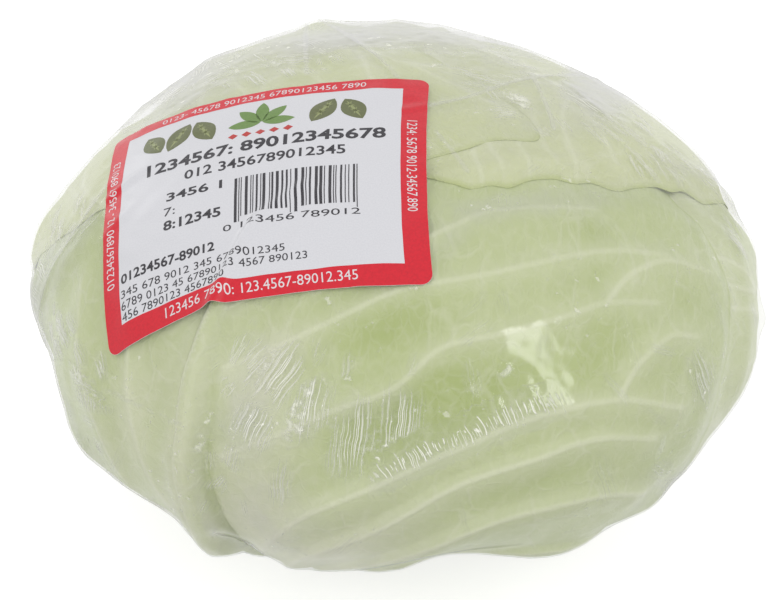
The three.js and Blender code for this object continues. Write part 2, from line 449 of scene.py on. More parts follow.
# Pale places of the front leaf, near the foot of its midrib: as above, with the strength.
FRONT_PALE_PLACES = [
    (-112, -6, 18, 9, 84, 1.0),
    (-100, -13, 16, 8, 35, 0.9),
    (-113, 17, 10, 6, 70, 0.9),
    (-124, -4, 26, 4.5, 86, 0.7),
    (-133, 8, 14, 7, 80, 0.55),
    (-113, -22, 12, 5, 98, 0.7),
]

# Hollows of the front leaf between its ribs: azimuth, elevation, reach along and across in
# degrees, the way the long side points in degrees up from the right, and depth in mm.
FRONT_HOLLOWS = [
    (-82, 15, 20, 6.5, 14, 2.8),
    (-92, 30, 9, 5, 30, 1.4),
    (-115, -29, 15, 4.0, 98, 2.9),
    (-60, 18, 14, 6, -5, 1.3),
    (-92, -6, 12, 4, 28, 0.7),
    (-70, 1, 14, 3.5, 8, 0.9),
    (-84, -17, 14, 5, 26, 0.9),
    (-86, 29, 16, 5, 20, 0.6),
    (-138, 18, 9, 9, 0, 1.2),
    (-152, -6, 12, 9, 20, 1.5),
]


def hollow_depth(hollows, d):
    depth = np.zeros(len(d))
    for azimuth, elevation, along, across, turn, deep in hollows:
        middle, east, north = axes_at(azimuth, elevation)
        x, y = np.degrees(d @ east), np.degrees(d @ north)
        c, s = turned(turn)
        x, y = x * c + y * s, y * c - x * s
        facing = d @ middle > 0.3
        depth = np.maximum(depth, deep * np.exp(-((x / along) ** 2) - (y / across) ** 2) * facing)
    return depth


def pocket_depth(d, column=5):
    """How far the leaves lie back from the film in the pockets, or with column 6 how far the
    film stands out there."""
    rows = [pocket[:5] + (pocket[column],) for pocket in AIR_POCKETS]
    return hollow_depth(rows, d)


def soft_relief(layer, d):
    """The broad rise and fall of a leaf in mm, that the leaves under it follow too."""
    p = d * WAVE_RADIUS
    rise = 0.42 * wobble(p, 34, 20 + layer) + 0.15 * wobble(p, 15, 40 + layer) - 0.5
    if LEAVES[layer]["name"] == "front_leaf":
        rise -= hollow_depth(FRONT_HOLLOWS, d)
    return rise


def leaf_surface(layer, d):
    """The outside of a leaf: its radius in mm, the distance to its nearest rib, how clear that
    rib is, and how far the surface rises over or sinks under the leaf's general form."""
    ground = pack_radius(d) - FILM_ROOM - pocket_depth(d)
    open_air = np.ones(len(d))
    for above in range(len(LEAVES) - 1, layer, -1):
        covered = cover(LEAVES[above], d)
        ground += covered * (soft_relief(above, d) - LEAF_THICKNESS - GAP)
        open_air *= 1 - covered
    height, distance, strength = rib_relief(RIBS[layer], d, ground)
    fine = 0.12 * wobble(d * WAVE_RADIUS, 6.5, 60 + layer)
    relief = soft_relief(layer, d) + height + fine
    settle = MARGIN_DIP * smoothstep(past_margin(LEAVES[layer], d), -MARGIN_TAPER, 0)
    radius = ground + relief * (0.15 + 0.85 * open_air) - settle
    return np.minimum(radius, flat_limit(d, FILM_ROOM + GAP)), distance, strength, relief


# ---------------------------------------------------------------- meshes


def to_points(d, radius):
    p = d * radius[:, None]
    p[:, 2] += CENTRE_HEIGHT
    return p * METRES


def place_mesh(mesh):
    """An object in the scene with a mesh's own name."""
    piece = bpy.data.objects.new(mesh.name, mesh)
    bpy.context.scene.collection.objects.link(piece)
    return piece


def make_object(name, points, faces, attributes, uv=None):
    """A smooth-shaded object. Attributes are values per vertex: one number or three each."""
    mesh = bpy.data.meshes.new(name)
    size = faces.shape[1]
    mesh.vertices.add(len(points))
    mesh.vertices.foreach_set("co", np.ascontiguousarray(points, np.float32).ravel())
    mesh.loops.add(faces.size)
    mesh.loops.foreach_set("vertex_index", faces.astype(np.int32).ravel())
    mesh.polygons.add(len(faces))
    mesh.polygons.foreach_set("loop_start", np.arange(0, faces.size, size, dtype=np.int32))
    mesh.polygons.foreach_set("use_smooth", np.ones(len(faces), bool))
    mesh.update(calc_edges=True)
    for key, values in attributes.items():
        kind = "FLOAT" if values.ndim == 1 else "FLOAT_VECTOR"
        field = "value" if values.ndim == 1 else "vector"
        attribute = mesh.attributes.new(key, kind, "POINT")
        attribute.data.foreach_set(field, values.astype(np.float32).ravel())
    if uv is not None:
        layer = mesh.uv_layers.new(name="OFBake")
        layer.data.foreach_set("uv", uv.astype(np.float32).ravel())
    mesh.validate()
    return place_mesh(mesh)


def square_to_disc(n):
    """An n by n grid on the unit disc, as distances from the middle and bearings."""
    x, y = np.meshgrid(np.linspace(-1, 1, n), np.linspace(-1, 1, n))
    far = np.maximum(np.abs(x), np.abs(y))
    flat = np.where(far == 0, 1, far)
    wide = np.abs(x) >= np.abs(y)
    turn = np.where(wide, y / flat * np.sign(x), x / flat * np.sign(y)) * math.pi / 4
    bearing = np.where(
        wide,
        np.where(x >= 0, math.pi / 2 - turn, -math.pi / 2 - turn),
        np.where(y >= 0, turn, math.pi + turn),
    )
    return far.ravel(), bearing.ravel()


def grid_triangles(n):
    """Two triangles for every cell of an n by n grid, cut so that none is a sliver on the disc."""
    k = np.arange(n * n).reshape(n, n)
    a, b, c, e = k[:-1, :-1], k[:-1, 1:], k[1:, 1:], k[1:, :-1]
    x, y = np.meshgrid(np.arange(n - 1) + 1 - n / 2, np.arange(n - 1) + 1 - n / 2)
    other = (x * y < 0)[..., None]
    first = np.where(other, np.stack([a, b, e], -1), np.stack([a, b, c], -1))
    second = np.where(other, np.stack([b, c, e], -1), np.stack([a, c, e], -1))
    return np.vstack([first.reshape(-1, 3), second.reshape(-1, 3)])


def grid_rim(n):
    """The indices round the edge of an n by n grid, in order."""
    k = np.arange(n * n).reshape(n, n)
    return np.concatenate([k[0, :-1], k[:-1, -1], k[-1, :0:-1], k[:0:-1, 0]])


def halves(quads):
    """Two triangles for every quad."""
    return np.vstack([quads[:, [0, 1, 2]], quads[:, [0, 2, 3]]])


RIM_STEP = 0.0022  # how far the rounded margin stands out, as a share of the leaf's reach


def build_leaf(layer, m):
    """A leaf as one closed mesh: its outside on a grid of 2m-1 places a side, its inside on one
    of m places, and a rounded margin between them."""
    leaf = LEAVES[layer]
    n = 2 * m - 1

    def sheet(count, behind):
        share, bearing = square_to_disc(count)
        reach = leaf_reach(leaf, bearing)
        d = unchart(leaf, share * reach, bearing)
        radius, distance, strength, relief = leaf_surface(layer, d)
        inward = smoothstep((1 - share) * reach, 0, MARGIN_TAPER)
        thickness = MARGIN_THICKNESS + (LEAF_THICKNESS - MARGIN_THICKNESS) * inward
        reach_mm = radius * np.radians(share * reach)
        pale = np.zeros(len(d))
        if leaf["name"] == "front_leaf":
            pale = hollow_depth(FRONT_PALE_PLACES, d)
        flat = [reach_mm * np.sin(bearing), reach_mm * np.cos(bearing), 0 * share]
        values = {
            "rib_distance": distance,
            "rib_strength": strength,
            "relief": relief,
            "pale_place": pale,
            "to_margin": (1 - share) * reach * math.radians(1) * radius,
            "leaf_mm": np.stack(flat, -1),
        }
        points = to_points(d, radius - thickness * behind)
        return points, values, (share, bearing, radius, thickness)

    outside, values, (share, bearing, radius, thickness) = sheet(n, 0)
    inside, under_values, _ = sheet(m, 1)
    rim, under_rim = grid_rim(n), grid_rim(m)
    rim_share = share[rim] + RIM_STEP
    rim_d = unchart(leaf, rim_share * leaf_reach(leaf, bearing[rim]), bearing[rim])
    rim_points = to_points(rim_d, radius[rim] - thickness[rim] / 2)
    first_inside, first_rim = n * n, n * n + m * m
    edge = first_rim + np.arange(len(rim))
    edge_next, rim_next = np.roll(edge, -1), np.roll(rim, -1)
    skirt = halves(np.stack([rim_next, rim, edge, edge_next], -1))
    a, b, c = edge[0::2], edge[1::2], np.roll(edge, -2)[0::2]
    low, low_next = first_inside + under_rim, first_inside + np.roll(under_rim, -1)
    under = [np.stack(t, -1) for t in ((b, a, low), (b, low, low_next), (c, b, low_next))]
    inner = grid_triangles(m)[:, ::-1] + first_inside
    faces = np.vstack([grid_triangles(n), inner, skirt, *under])
    points = np.vstack([outside, inside, rim_points])
    attributes = {
        key: np.concatenate([values[key], under_values[key], values[key][rim]]) for key in values
    }
    places = []
    for count, left in ((n, 0.02), (m, 0.52)):  # the two sides lie side by side on the map
        x, y = np.meshgrid(np.linspace(0, 1, count), np.linspace(0, 1, count))
        places.append(np.stack([left + 0.46 * x.ravel(), 0.02 + 0.96 * y.ravel()], -1))
    places = np.vstack([*places, places[0][rim]])
    piece = make_object(leaf["name"] + "_blade", points, faces, attributes, places[faces.ravel()])
    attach(piece, "root")
    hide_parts(leaf["name"])
    return piece


def geodesic(levels):
    """Directions and triangles of an icosahedron whose edges are cut in three, and then halved
    `levels` times."""
    golden = (1 + 5**0.5) / 2
    corners = [(-1, golden, 0), (1, golden, 0), (-1, -golden, 0), (1, -golden, 0),
               (0, -1, golden), (0, 1, golden), (0, -1, -golden), (0, 1, -golden),
               (golden, 0, -1), (golden, 0, 1), (-golden, 0, -1), (-golden, 0, 1)]
    d = np.array(corners, float)
    d /= np.linalg.norm(d, axis=1)[:, None]
    faces = np.array([
        (0, 11, 5), (0, 5, 1), (0, 1, 7), (0, 7, 10), (0, 10, 11), (1, 5, 9), (5, 11, 4),
        (11, 10, 2), (10, 7, 6), (7, 1, 8), (3, 9, 4), (3, 4, 2), (3, 2, 6), (3, 6, 8),
        (3, 8, 9), (4, 9, 5), (2, 4, 11), (6, 2, 10), (8, 6, 7), (9, 8, 1),
    ])
    steps = [split_in_three] + [split_in_two] * levels
    for split in steps:
        d, faces = split(d, faces)
    return d, faces


def edge_list(faces):
    """Every edge once, and for each triangle the numbers of its three edges."""
    pairs = np.vstack([faces[:, [0, 1]], faces[:, [1, 2]], faces[:, [2, 0]]])
    forward = pairs[:, 0] < pairs[:, 1]
    edges, number = np.unique(np.sort(pairs, axis=1), axis=0, return_inverse=True)
    number = number.ravel()
    count = len(faces)
    return edges, number.reshape(3, count).T, forward.reshape(3, count).T


def split_in_two(d, faces):
    edges, of_face, _ = edge_list(faces)
    middle = d[edges].sum(axis=1)
    middle /= np.linalg.norm(middle, axis=1)[:, None]
    a, b, c = faces.T
    ab, bc, ca = (of_face + len(d)).T
    parts = [np.stack(t, -1) for t in ((a, ab, ca), (b, bc, ab), (c, ca, bc), (ab, bc, ca))]
    return np.vstack([d, middle]), np.vstack(parts)


def split_in_three(d, faces):
    edges, of_face, forward = edge_list(faces)
    thirds = [d[edges[:, 0]] * (3 - k) + d[edges[:, 1]] * k for k in (1, 2)]
    centres = d[faces].sum(axis=1)
    points = np.vstack([d, *thirds, centres])
    points /= np.linalg.norm(points, axis=1)[:, None]
    first = len(d) + of_face + np.where(forward, 0, len(edges))
    second = len(d) + of_face + np.where(forward, len(edges), 0)
    a, b, c = faces.T
    (ab1, bc1, ca1), (ab2, bc2, ca2) = first.T, second.T
    m = len(d) + 2 * len(edges) + np.arange(len(faces))
    parts = [(a, ab1, ca2), (ab1, ab2, m), (ab2, b, bc1), (bc1, bc2, m), (bc2, c, ca1),
             (ca1, ca2, m), (ca2, ab1, m), (ab2, bc1, m), (bc2, ca1, m)]
    return points, np.vstack([np.stack(t, -1) for t in parts])


def neighbours(d, faces):
    """The neighbours of each direction: five or six, the last one repeated where there are five."""
    edges, _, _ = edge_list(faces)
    both = np.vstack([edges, edges[:, ::-1]])
    both = both[np.argsort(both[:, 0], kind="stable")]
    start = np.searchsorted(both[:, 0], np.arange(len(d)))
    count = np.diff(np.append(start, len(both)))
    slots = np.minimum(np.arange(6)[None, :], count[:, None] - 1)
    return both[start[:, None] + slots, 1]


def normals_of(points, faces):
    a, b, c = (points[faces[:, k]] for k in range(3))
    face_normal = np.cross(b - a, c - a)
    total = np.zeros_like(points)
    for k in range(3):
        for axis in range(3):
            total[:, axis] += np.bincount(faces[:, k], face_normal[:, axis], len(points))
    return total / np.linalg.norm(total, axis=1)[:, None]


# ---------------------------------------------------------------- the film

FILM_CLEARANCE = 0.22  # between the film and what it touches
RIM_DEGREES = 0.3  # how far past a leaf's margin its rounded rim still counts
CLING = 0.5  # how far at most the film lies off the leaves round the bottom
CLING_RANGE = ((8, 16), (44, 54))  # degrees below level over which that starts and ends
FLAT_REACH = 24.0  # the film is pressed flat within this angle of straight down
FLOOR_CLEARANCE = 0.05  # the film's grid stays this far over the floor while it is pulled
FILM_TURNS = [0, 0, 60, 60, 60, 50]  # rounds of pulling at each fineness of the grid
NORMAL_ROUNDS = 12  # the way the film faces is worked out anew after so many rounds
WRAP_ROUNDS, SMOOTH_ROUNDS = 8, 3
HELD_OUT = 0.25  # in mm, from where the film keeps its form over a pocket
TENTED = 0.3  # and from where it does so over a tent
VENT_PLACE, VENT_RADIUS = (90, -35), 2.5  # azimuth and elevation, and mm
# Places where folded film stands out from the pack: azimuth, elevation, height in mm and reach in
# degrees. The highest is a corner of the seal at the right.
TENTS = [
    (-8, 0.5, 0.4, 5.0),
    (4, 17, 0.8, 4.0),
]

# Bundles of fine pleats: azimuth, elevation, the way they run in degrees up from the right, half
# their length and half the bundle's width in mm, the space between pleats in mm, and strength.
# The pleats show as white lines that are painted glints.
PLEATS = [
    (-116, 20, 58, 8, 6, 1.3, 0.95),
    (-109.5, 19, 66, 9, 6, 1.3, 0.95),
    (-112, 11, 75, 7, 6, 1.2, 0.8),
    (-103, 15, 86, 9, 6, 1.2, 0.9),
    (-96.5, 11, 87, 11, 6, 1.2, 0.95),
    (-89, 12, 84, 11, 6, 1.3, 0.9),
    (-104, 23, 72, 5, 4, 1.2, 0.5),
    (-115, 5, 82, 7, 4, 1.4, 0.5),
    (-3, 63, -60, 4, 3, 0.9, 0.9),
    (-9, 54, -128, 3, 3, 0.9, 0.6),
    (-2, 30, -126, 8, 9, 1.6, 0.6),
    (7, 25, -122, 7, 6, 1.5, 0.5),
    (-34, 6, -80, 10, 5, 1.4, 0.7),
    (-44, -6, -43, 8, 4, 1.5, 0.4),
    (152, 31, 150, 7, 6, 1.6, 0.8),
    (148, 43, 140, 8, 6, 1.5, 0.7),
    (132, 55, 120, 7, 6, 1.4, 0.6),
    (-171, 20, 100, 8, 7, 1.4, 0.7),
    (-143, 4, 110, 4, 10, 1.4, 0.6),
    (-60, 26, -70, 4, 5, 1.4, 0.4),
    (95, 20, 60, 12, 10, 2.0, 0.5),
    (60, -10, 100, 14, 8, 1.8, 0.5),
    (130, -5, 80, 12, 9, 1.8, 0.5),
    (-150, -25, 70, 10, 8, 1.8, 0.4),
]
# Crumpled areas, where small bundles of pleats lie about at random: azimuth, elevation and half
# their size each way in degrees, the main way of the pleats, its spread, how many, and strength.
# Their white pleats, too, are painted glints.
CRUMPLES = [
    (-113, 17, 6, 7, 72, 20, 4, 0.85),
    (-99, 14, 8, 5, 86, 10, 3, 0.85),
    (-106, 22, 8, 5, 70, 30, 3, 0.6),
    (-112, -1, 7, 7, 84, 30, 7, 0.5),
    (-82, -8, 22, 6, 80, 30, 6, 0.3),
    (-72, 25, 18, 8, 60, 40, 8, 0.35),
    (-45, 8, 12, 10, -70, 40, 8, 0.35),
    (10, 37, 16, 7, -140, 25, 14, 0.7),
    (2, 18, 8, 8, -115, 20, 9, 0.7),
    (-16, 5, 8, 8, -100, 20, 7, 0.3),
    (12, 57, 26, 8, -155, 25, 12, 0.55),
    (-40, 50, 20, 8, -150, 40, 7, 0.3),
    (134, 58, 20, 8, 70, 30, 8, 0.55),
    (142, 44, 12, 8, 52, 25, 9, 0.6),
    (148, 27, 10, 6, 44, 25, 7, 0.7),
    (-174, 12, 7, 9, 25, 30, 10, 0.75),
    (-152, 8, 10, 5, -22, 30, 10, 0.7),
    (-142, -8, 12, 8, 60, 40, 8, 0.35),
    (90, 12, 32, 24, 90, 40, 26, 0.5),
    (20, -12, 26, 10, 90, 40, 12, 0.4),
    (160, -12, 22, 12, 90, 40, 12, 0.4),
]
# The pleats along the first side rib: the share of its length, and how far they reach beside it.
COMB_FROM, COMB_TO, COMB_REACH, COMB_PITCH = 0.36, 0.80, 4.8, 1.6
COMB_RIB = 128  # the length of that rib in mm
FAR_AWAY = 50.0  # a distance in mm at which a fold or the seam no longer shows
FOLD_HEIGHT, FOLD_WIDTH = 0.3, 1.1
# Thin raised folds in the film, through (azimuth, elevation) places.
FOLDS = [
    [(110, 33), (122, 51), (143, 64)],
    [(107, 33), (104, 58), (83, 79)],
    [(-8, 81), (12, 71), (29, 55), (35, 41), (42, 25)],
    [(-49, 74), (-55, 59)],
    [(34, 50), (13, 53), (-6, 52)],
    [(24, 42), (9, 39)],
    [(60, 10), (66, -12), (60, -30)],
    [(128, 20), (134, -4), (126, -24)],
    [(-176, 30), (-168, 12), (-172, -6)],
]
# Places where the film is gathered, with a painted highlight in white: azimuth, elevation, reach
# along and across in degrees, the way the long side points, and strength.
KNOTS = [
    (-105, 14.5, 4.5, 1.6, 75, 1.0),
    (-70, 20, 1.5, 0.8, 30, 0.8),
    (-112, 21, 3, 0.9, 60, 0.7),
    (-120, 7, 1.6, 1.0, 80, 0.6),
    (12, 59, 5, 2.5, 20, 0.7),
    (147, 26, 4, 2.5, 50, 0.7),
    (137, 52, 3, 1.5, 50, 0.5),
    (-147, 6, 4, 1.6, 10, 0.5),
]
# The long seal of the film, through (azimuth, elevation) places.
SEAM = [(-178, 3), (-160, 5), (-142, 7), (-124, 9), (-107, 12.5), (-99, 13)]


def tent_height(d):
    height = np.zeros(len(d))
    for azimuth, elevation, tall, reach in TENTS:
        away = angle_to(d, direction(azimuth, elevation))
        height = np.maximum(height, tall * np.maximum(1 - away / reach, 0))
    return height


def leaf_tops(d, ring):
    """The highest leaf surface in each direction, and the same with room for the film's grid."""
    top = np.zeros(len(d))
    for layer in range(len(LEAVES)):
        radius = leaf_surface(layer, d)[0]
        there = past_margin(LEAVES[layer], d) < RIM_DEGREES
        top = np.where(there, np.maximum(top, radius), top)
    top = np.maximum(top, head_radius(d))
    return top, np.maximum(top, top[ring].max(axis=1))


def stretch_film(levels):
    """A film pulled tight over the leaves, worked out from coarse to fine: its directions,
    triangles and radius, and the radius of the leaf under it."""
    d, faces = geodesic(0)
    for level in range(levels + 1):
        if level:
            edges, _, _ = edge_list(faces)
            radius = np.concatenate([radius, radius[edges].mean(axis=1)])
            d, faces = split_in_two(d, faces)
        ring = neighbours(d, faces)
        if level < 2:
            radius = pack_radius(d)
            continue
        top, guarded = leaf_tops(d, ring)
        held = pocket_depth(d, 6)
        form = (pack_radius(d) + held) * (held > HELD_OUT)
        corners = tent_height(d)
        tents = (pack_radius(d) + corners) * (corners > TENTED)
        floor = np.maximum(guarded + FILM_CLEARANCE, np.maximum(form, tents))
        flat = flat_limit(d, FLOOR_CLEARANCE)
        pressed = angle_to(d, np.array([0, 0, -1.0])) < FLAT_REACH
        floor = np.where(pressed, flat, np.minimum(floor, flat))
        radius = np.maximum(radius, floor)
        for turn in range(FILM_TURNS[level]):
            points = d * radius[:, None]
            if turn % NORMAL_ROUNDS == 0:
                normal = normals_of(points, faces)
                facing = np.einsum("ij,ij->i", d, normal)
            pulled = np.einsum("ij,ij->i", points[ring].mean(axis=1), normal) / facing
            radius = np.maximum(floor, pulled)
        radius = np.minimum(radius, flat_limit(d, 0.0))
    elevation = np.degrees(np.arcsin(d[:, 2]))
    start, end = CLING_RANGE
    clinging = smoothstep(-elevation, *start) * (1 - smoothstep(-elevation, *end))
    wrap = top
    for _ in range(WRAP_ROUNDS):
        wrap = np.maximum(top, wrap[ring].mean(axis=1))
    close = np.minimum(radius, wrap + CLING)
    radius = radius + (close - radius) * clinging
    lowest = (top + guarded) / 2 + 0.1
    for _ in range(SMOOTH_ROUNDS):
        radius = np.maximum((radius + radius[ring].mean(axis=1)) / 2, lowest)
        radius = np.minimum(radius, flat_limit(d, 0.0))
    return d, faces, radius, top


def pleat_fields(d, radius):
    """For the film's directions: places across and along the nearest pleats, and how strong the
    pleats are there. Two bundles that meet both fade out where they do."""
    bundles = list(PLEATS)
    draw = np.random.default_rng(11)
    for azimuth, elevation, wide, tall, turn, spread, count, strength in CRUMPLES:
        for _ in range(count):
            x, y, sway = draw.uniform(-1, 1, 3)
            place = (azimuth + x * wide, elevation + y * tall, turn + sway * spread)
            size = (draw.uniform(4, 10), draw.uniform(1.6, 4.0), draw.uniform(0.8, 1.7))
            bundles.append(place + size + (strength * draw.uniform(0.6, 1.2),))
    fields = []
    for azimuth, elevation, turn, length, width, pitch, strength in bundles:
        middle, east, north = axes_at(azimuth, elevation)
        x, y = (d @ east) * radius, (d @ north) * radius
        c, s = turned(turn)
        run, beside = x * c + y * s, y * c - x * s
        reach = np.exp(-((run / length) ** 4) - (beside / width) ** 2) * (d @ middle > 0.5)
        fields.append((beside / pitch + azimuth, run / length, strength * reach))
    beside, share, past = rib_reading(RIBS[1][0], d, radius)
    window = smoothstep(share, COMB_FROM, COMB_FROM + 0.08)
    window *= 1 - smoothstep(share, COMB_TO - 0.1, COMB_TO)
    comb = window * (past < 2) * (np.abs(beside - COMB_REACH / 2) < COMB_REACH)
    across = share * COMB_RIB / COMB_PITCH + 0.08 * beside
    fields.append((across, beside / COMB_REACH * 1.8 - 0.9, comb))
    across, along, amount = (np.array(rows) for rows in zip(*fields))
    order = np.argsort(amount, axis=0)
    best, second = order[-1], order[-2]
    every = np.arange(len(d))
    lead = amount[best, every] - amount[second, every]
    strong = amount[best, every] * smoothstep(lead, 0.05, 0.2)
    return across[best, every], along[best, every], strong


def build_film():
    d, faces, radius, top = stretch_film(len(FILM_TURNS) - 1)
    across, along, amount = pleat_fields(d, radius)
    p = d * WAVE_RADIUS
    rumple = 0.07 * wobble(p, 7, 90) + 0.03 * wobble(p, 3.5, 91) + 0.15
    rumple += 0.2 * amount * wobble(p, 4.0, 92)
    low = smoothstep(-np.degrees(np.arcsin(d[:, 2])), 8, 20)
    rumple *= 1 - 0.8 * low
    free = smoothstep(radius - top, 0.1, 0.8)
    radius = np.minimum(radius + np.maximum(rumple, 0) * (0.5 + 0.5 * free), flat_limit(d, 0.0))
    beside, _, past = rib_reading(make_rib(directions(SEAM), (1, 1), (1, 1)), d, radius)
    seam = beside + FAR_AWAY * (past > 2)
    fold = np.full(len(d), FAR_AWAY)
    for places in FOLDS:
        beside, _, past = rib_reading(make_rib(directions(places), (1, 1), (1, 1)), d, radius)
        fold = np.minimum(fold, np.abs(beside) + past)
    radius = radius + FOLD_HEIGHT * np.exp(-((fold / FOLD_WIDTH) ** 2))
    vent = angle_to(d, direction(*VENT_PLACE)) * math.radians(1) * radius < VENT_RADIUS
    faces = faces[~vent[faces].any(axis=1)]
    points = to_points(d, radius)
    attributes = {
        "standoff": radius - top,
        "pleat_across": across,
        "pleat_along": along,
        "pleats": amount,
        "seam": seam,
        "fold": fold,
        "cloud": hollow_depth(CLOUDS, d),
        "knot": hollow_depth(KNOTS, d),
    }
    upper = points[faces][:, :, 2].mean(axis=1) > CENTRE_HEIGHT * METRES
    flat = d[:, :2] / np.sqrt(1 + np.abs(d[:, 2:])) * 0.24
    corner = flat[faces.ravel()] + [0.25, 0.25]
    corner[:, 0] += np.where(np.repeat(upper, 3), 0, 0.5)
    film = make_object("film_skin", points, faces, attributes, corner)
    film.data.materials.append(film_material())
    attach(film, "root")
    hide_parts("film")
    return points, faces


# ---------------------------------------------------------------- the head and the stalk

HEAD_DEPTH, HEAD_LEVEL = 8.0, 7.5  # how far the head lies in from the film, and over the floor


def head_radius(d):
    rise = 0.6 * wobble(d * WAVE_RADIUS, 30, 5)
    return np.minimum(
        pack_radius(d) - pocket_depth(d) - HEAD_DEPTH + rise, flat_limit(d, HEAD_LEVEL)
    )


def build_head():
    d, faces = geodesic(3)
    radius = head_radius(d)
    around, upwards = np.arctan2(d[:, 1], d[:, 0]), np.arcsin(d[:, 2])
    flat = np.stack([around, upwards, d[:, 0] * 0], -1) * WAVE_RADIUS
    plain = radius * 0
    attributes = {"rib_distance": plain + 20, "rib_strength": plain, "relief": plain,
                  "to_margin": plain + 40, "leaf_mm": flat}
    head = make_object("head_ball", to_points(d, radius), faces, attributes)
    head.data.materials.append(leaf_material("inner_leaf", 0.5, 0.5))
    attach(head, "root")
    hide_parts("head")


STALK_LOW, STALK_HIGH = 1.0, 7.1  # the levels of the stump's two faces
STALK_RADIUS, STALK_FLARE = 13.2, 1.2  # at the cut, and how much wider it is at the head


def build_stalk():
    """The cut stump: a slightly crowned, knobbly disc with the cut face down."""
    rings, turns = 26, 96
    share = np.concatenate([np.linspace(0, 1, rings), np.ones(8), np.linspace(1, 0, rings)])
    level = np.concatenate([np.zeros(rings), np.linspace(0, 1, 10)[1:-1], np.ones(rings)])
    angle = np.linspace(0, 2 * math.pi, turns, endpoint=False)
    knobs = 1 + 0.035 * np.sin(5 * angle + 1) + 0.02 * np.sin(11 * angle)
    level = level[:, None]
    reach = share[:, None] * (STALK_RADIUS + STALK_FLARE * level) * knobs
    grain = 0.35 * (1 - level) * np.cos(reach / 1.3) ** 2
    height = STALK_LOW + (STALK_HIGH - STALK_LOW) * level + grain
    x, y = reach * np.cos(angle), reach * np.sin(angle)
    z = height + 0 * x
    points = np.stack([x, y, z], -1)[1:-1].reshape(-1, 3)
    rows = len(share) - 2
    k = np.arange(rows * turns).reshape(rows, turns)
    nxt = np.roll(k, -1, axis=1)
    quads = np.stack([k[:-1], k[1:], nxt[1:], nxt[:-1]], -1).reshape(-1, 4)
    mesh = bpy.data.meshes.new("stalk_stump")
    last = len(points)
    points = np.vstack([points, [[0, 0, STALK_LOW]], [[0, 0, STALK_HIGH]]]) * METRES
    caps = [(last, int(k[0, j]), int(nxt[0, j])) for j in range(turns)]
    caps += [(last + 1, int(nxt[-1, j]), int(k[-1, j])) for j in range(turns)]
    mesh.from_pydata(points.tolist(), [], quads[:, ::-1].tolist() + caps)
    mesh.polygons.foreach_set("use_smooth", np.ones(len(mesh.polygons), bool))
    stump = place_mesh(mesh)
    stump.data.materials.append(stalk_material())
    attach(stump, "root")
    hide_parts("stalk")


# ---------------------------------------------------------------- the label

LABEL_WIDTH, LABEL_HEIGHT, LABEL_CORNER = 82.0, 71.5, 3.0
LABEL_MIDDLE = np.array([-30.2, -23.0, 40.0])  # from the centre of the head
LABEL_FACING = direction(-138, 69)
LABEL_UP = np.cross(LABEL_FACING, np.array([0.963, -0.046, 0.266]))
LABEL_UP /= np.linalg.norm(LABEL_UP)
LABEL_RIGHT = np.cross(LABEL_UP, LABEL_FACING)
LABEL_BASE = LABEL_MIDDLE + np.array([0, 0, CENTRE_HEIGHT])
LABEL_STEP = 0.6  # fineness of the paper in mm
LABEL_MARGIN = 3.0  # how much further its height is worked out, in mm
LABEL_ROUNDS = 90  # rounds of smoothing, for paper is stiffer than the film under it
LABEL_LIFT = 0.05  # the least room between film and paper
RAY_START = 50.0  # how far off the label's plane its height is felt for
PAPER = 0.12  # the paper's thickness
# Creases in the paper: from, to, height and width in mm.
CREASES = [
    ((-12.5, -38), (0.5, -14), 1.5, 1.7),
    ((0.5, -14), (13, -4), 0.7, 2.0),
    ((-41, 10), (-30, 14), 0.7, 1.2),
    ((-41, -3), (-33, 3), 0.4, 1.6),
    ((10, -22), (16, -6), 0.3, 1.2),
    ((29, 20), (41, 24), 0.4, 1.5),
]


def label_heights(points, faces):
    """The height of the paper over the label's own plane in mm, on a grid over the label."""
    tree = BVHTree.FromPolygons((points / METRES).tolist(), faces.tolist())
    reach_u = math.ceil((LABEL_WIDTH / 2 + LABEL_MARGIN) / LABEL_STEP)
    reach_v = math.ceil((LABEL_HEIGHT / 2 + LABEL_MARGIN) / LABEL_STEP)
    u = np.arange(-reach_u, reach_u + 1) * LABEL_STEP
    v = np.arange(-reach_v, reach_v + 1) * LABEL_STEP
    down = Vector(-LABEL_FACING)
    height = np.zeros((len(v), len(u)))
    for j, up in enumerate(v):
        for i, right in enumerate(u):
            start = LABEL_BASE + right * LABEL_RIGHT + up * LABEL_UP + RAY_START * LABEL_FACING
            hit = tree.ray_cast(Vector(start), down)
            height[j, i] = RAY_START - hit[3] if hit[0] is not None else height[j, i - 1]
    lowest = height + LABEL_LIFT
    height = lowest.copy()
    for _ in range(LABEL_ROUNDS):
        inner = (height[1:-1, :-2] + height[1:-1, 2:] + height[:-2, 1:-1] + height[2:, 1:-1]) / 4
        height[1:-1, 1:-1] = np.maximum(lowest[1:-1, 1:-1], inner)
    uu, vv = np.meshgrid(u, v)
    flat = np.stack([uu.ravel(), vv.ravel(), 0 * uu.ravel()], -1)
    ripple = 0.16 * wobble(flat, 13, 7) + 0.1 * wobble(flat, 6, 8)
    for (u0, v0), (u1, v1), tall, wide in CREASES:
        along = np.array([u1 - u0, v1 - v0])
        length = np.linalg.norm(along)
        along = along / length
        run = (uu - u0) * along[0] + (vv - v0) * along[1]
        beside = (vv - v0) * along[0] - (uu - u0) * along[1]
        ends = smoothstep(run, -4, 3) * (1 - smoothstep(run, length - 3, length + 4))
        height += tall * ends * np.exp(-((beside / wide) ** 2))
    height += np.maximum(ripple, -0.1).reshape(height.shape) + 0.1
    return u, v, height


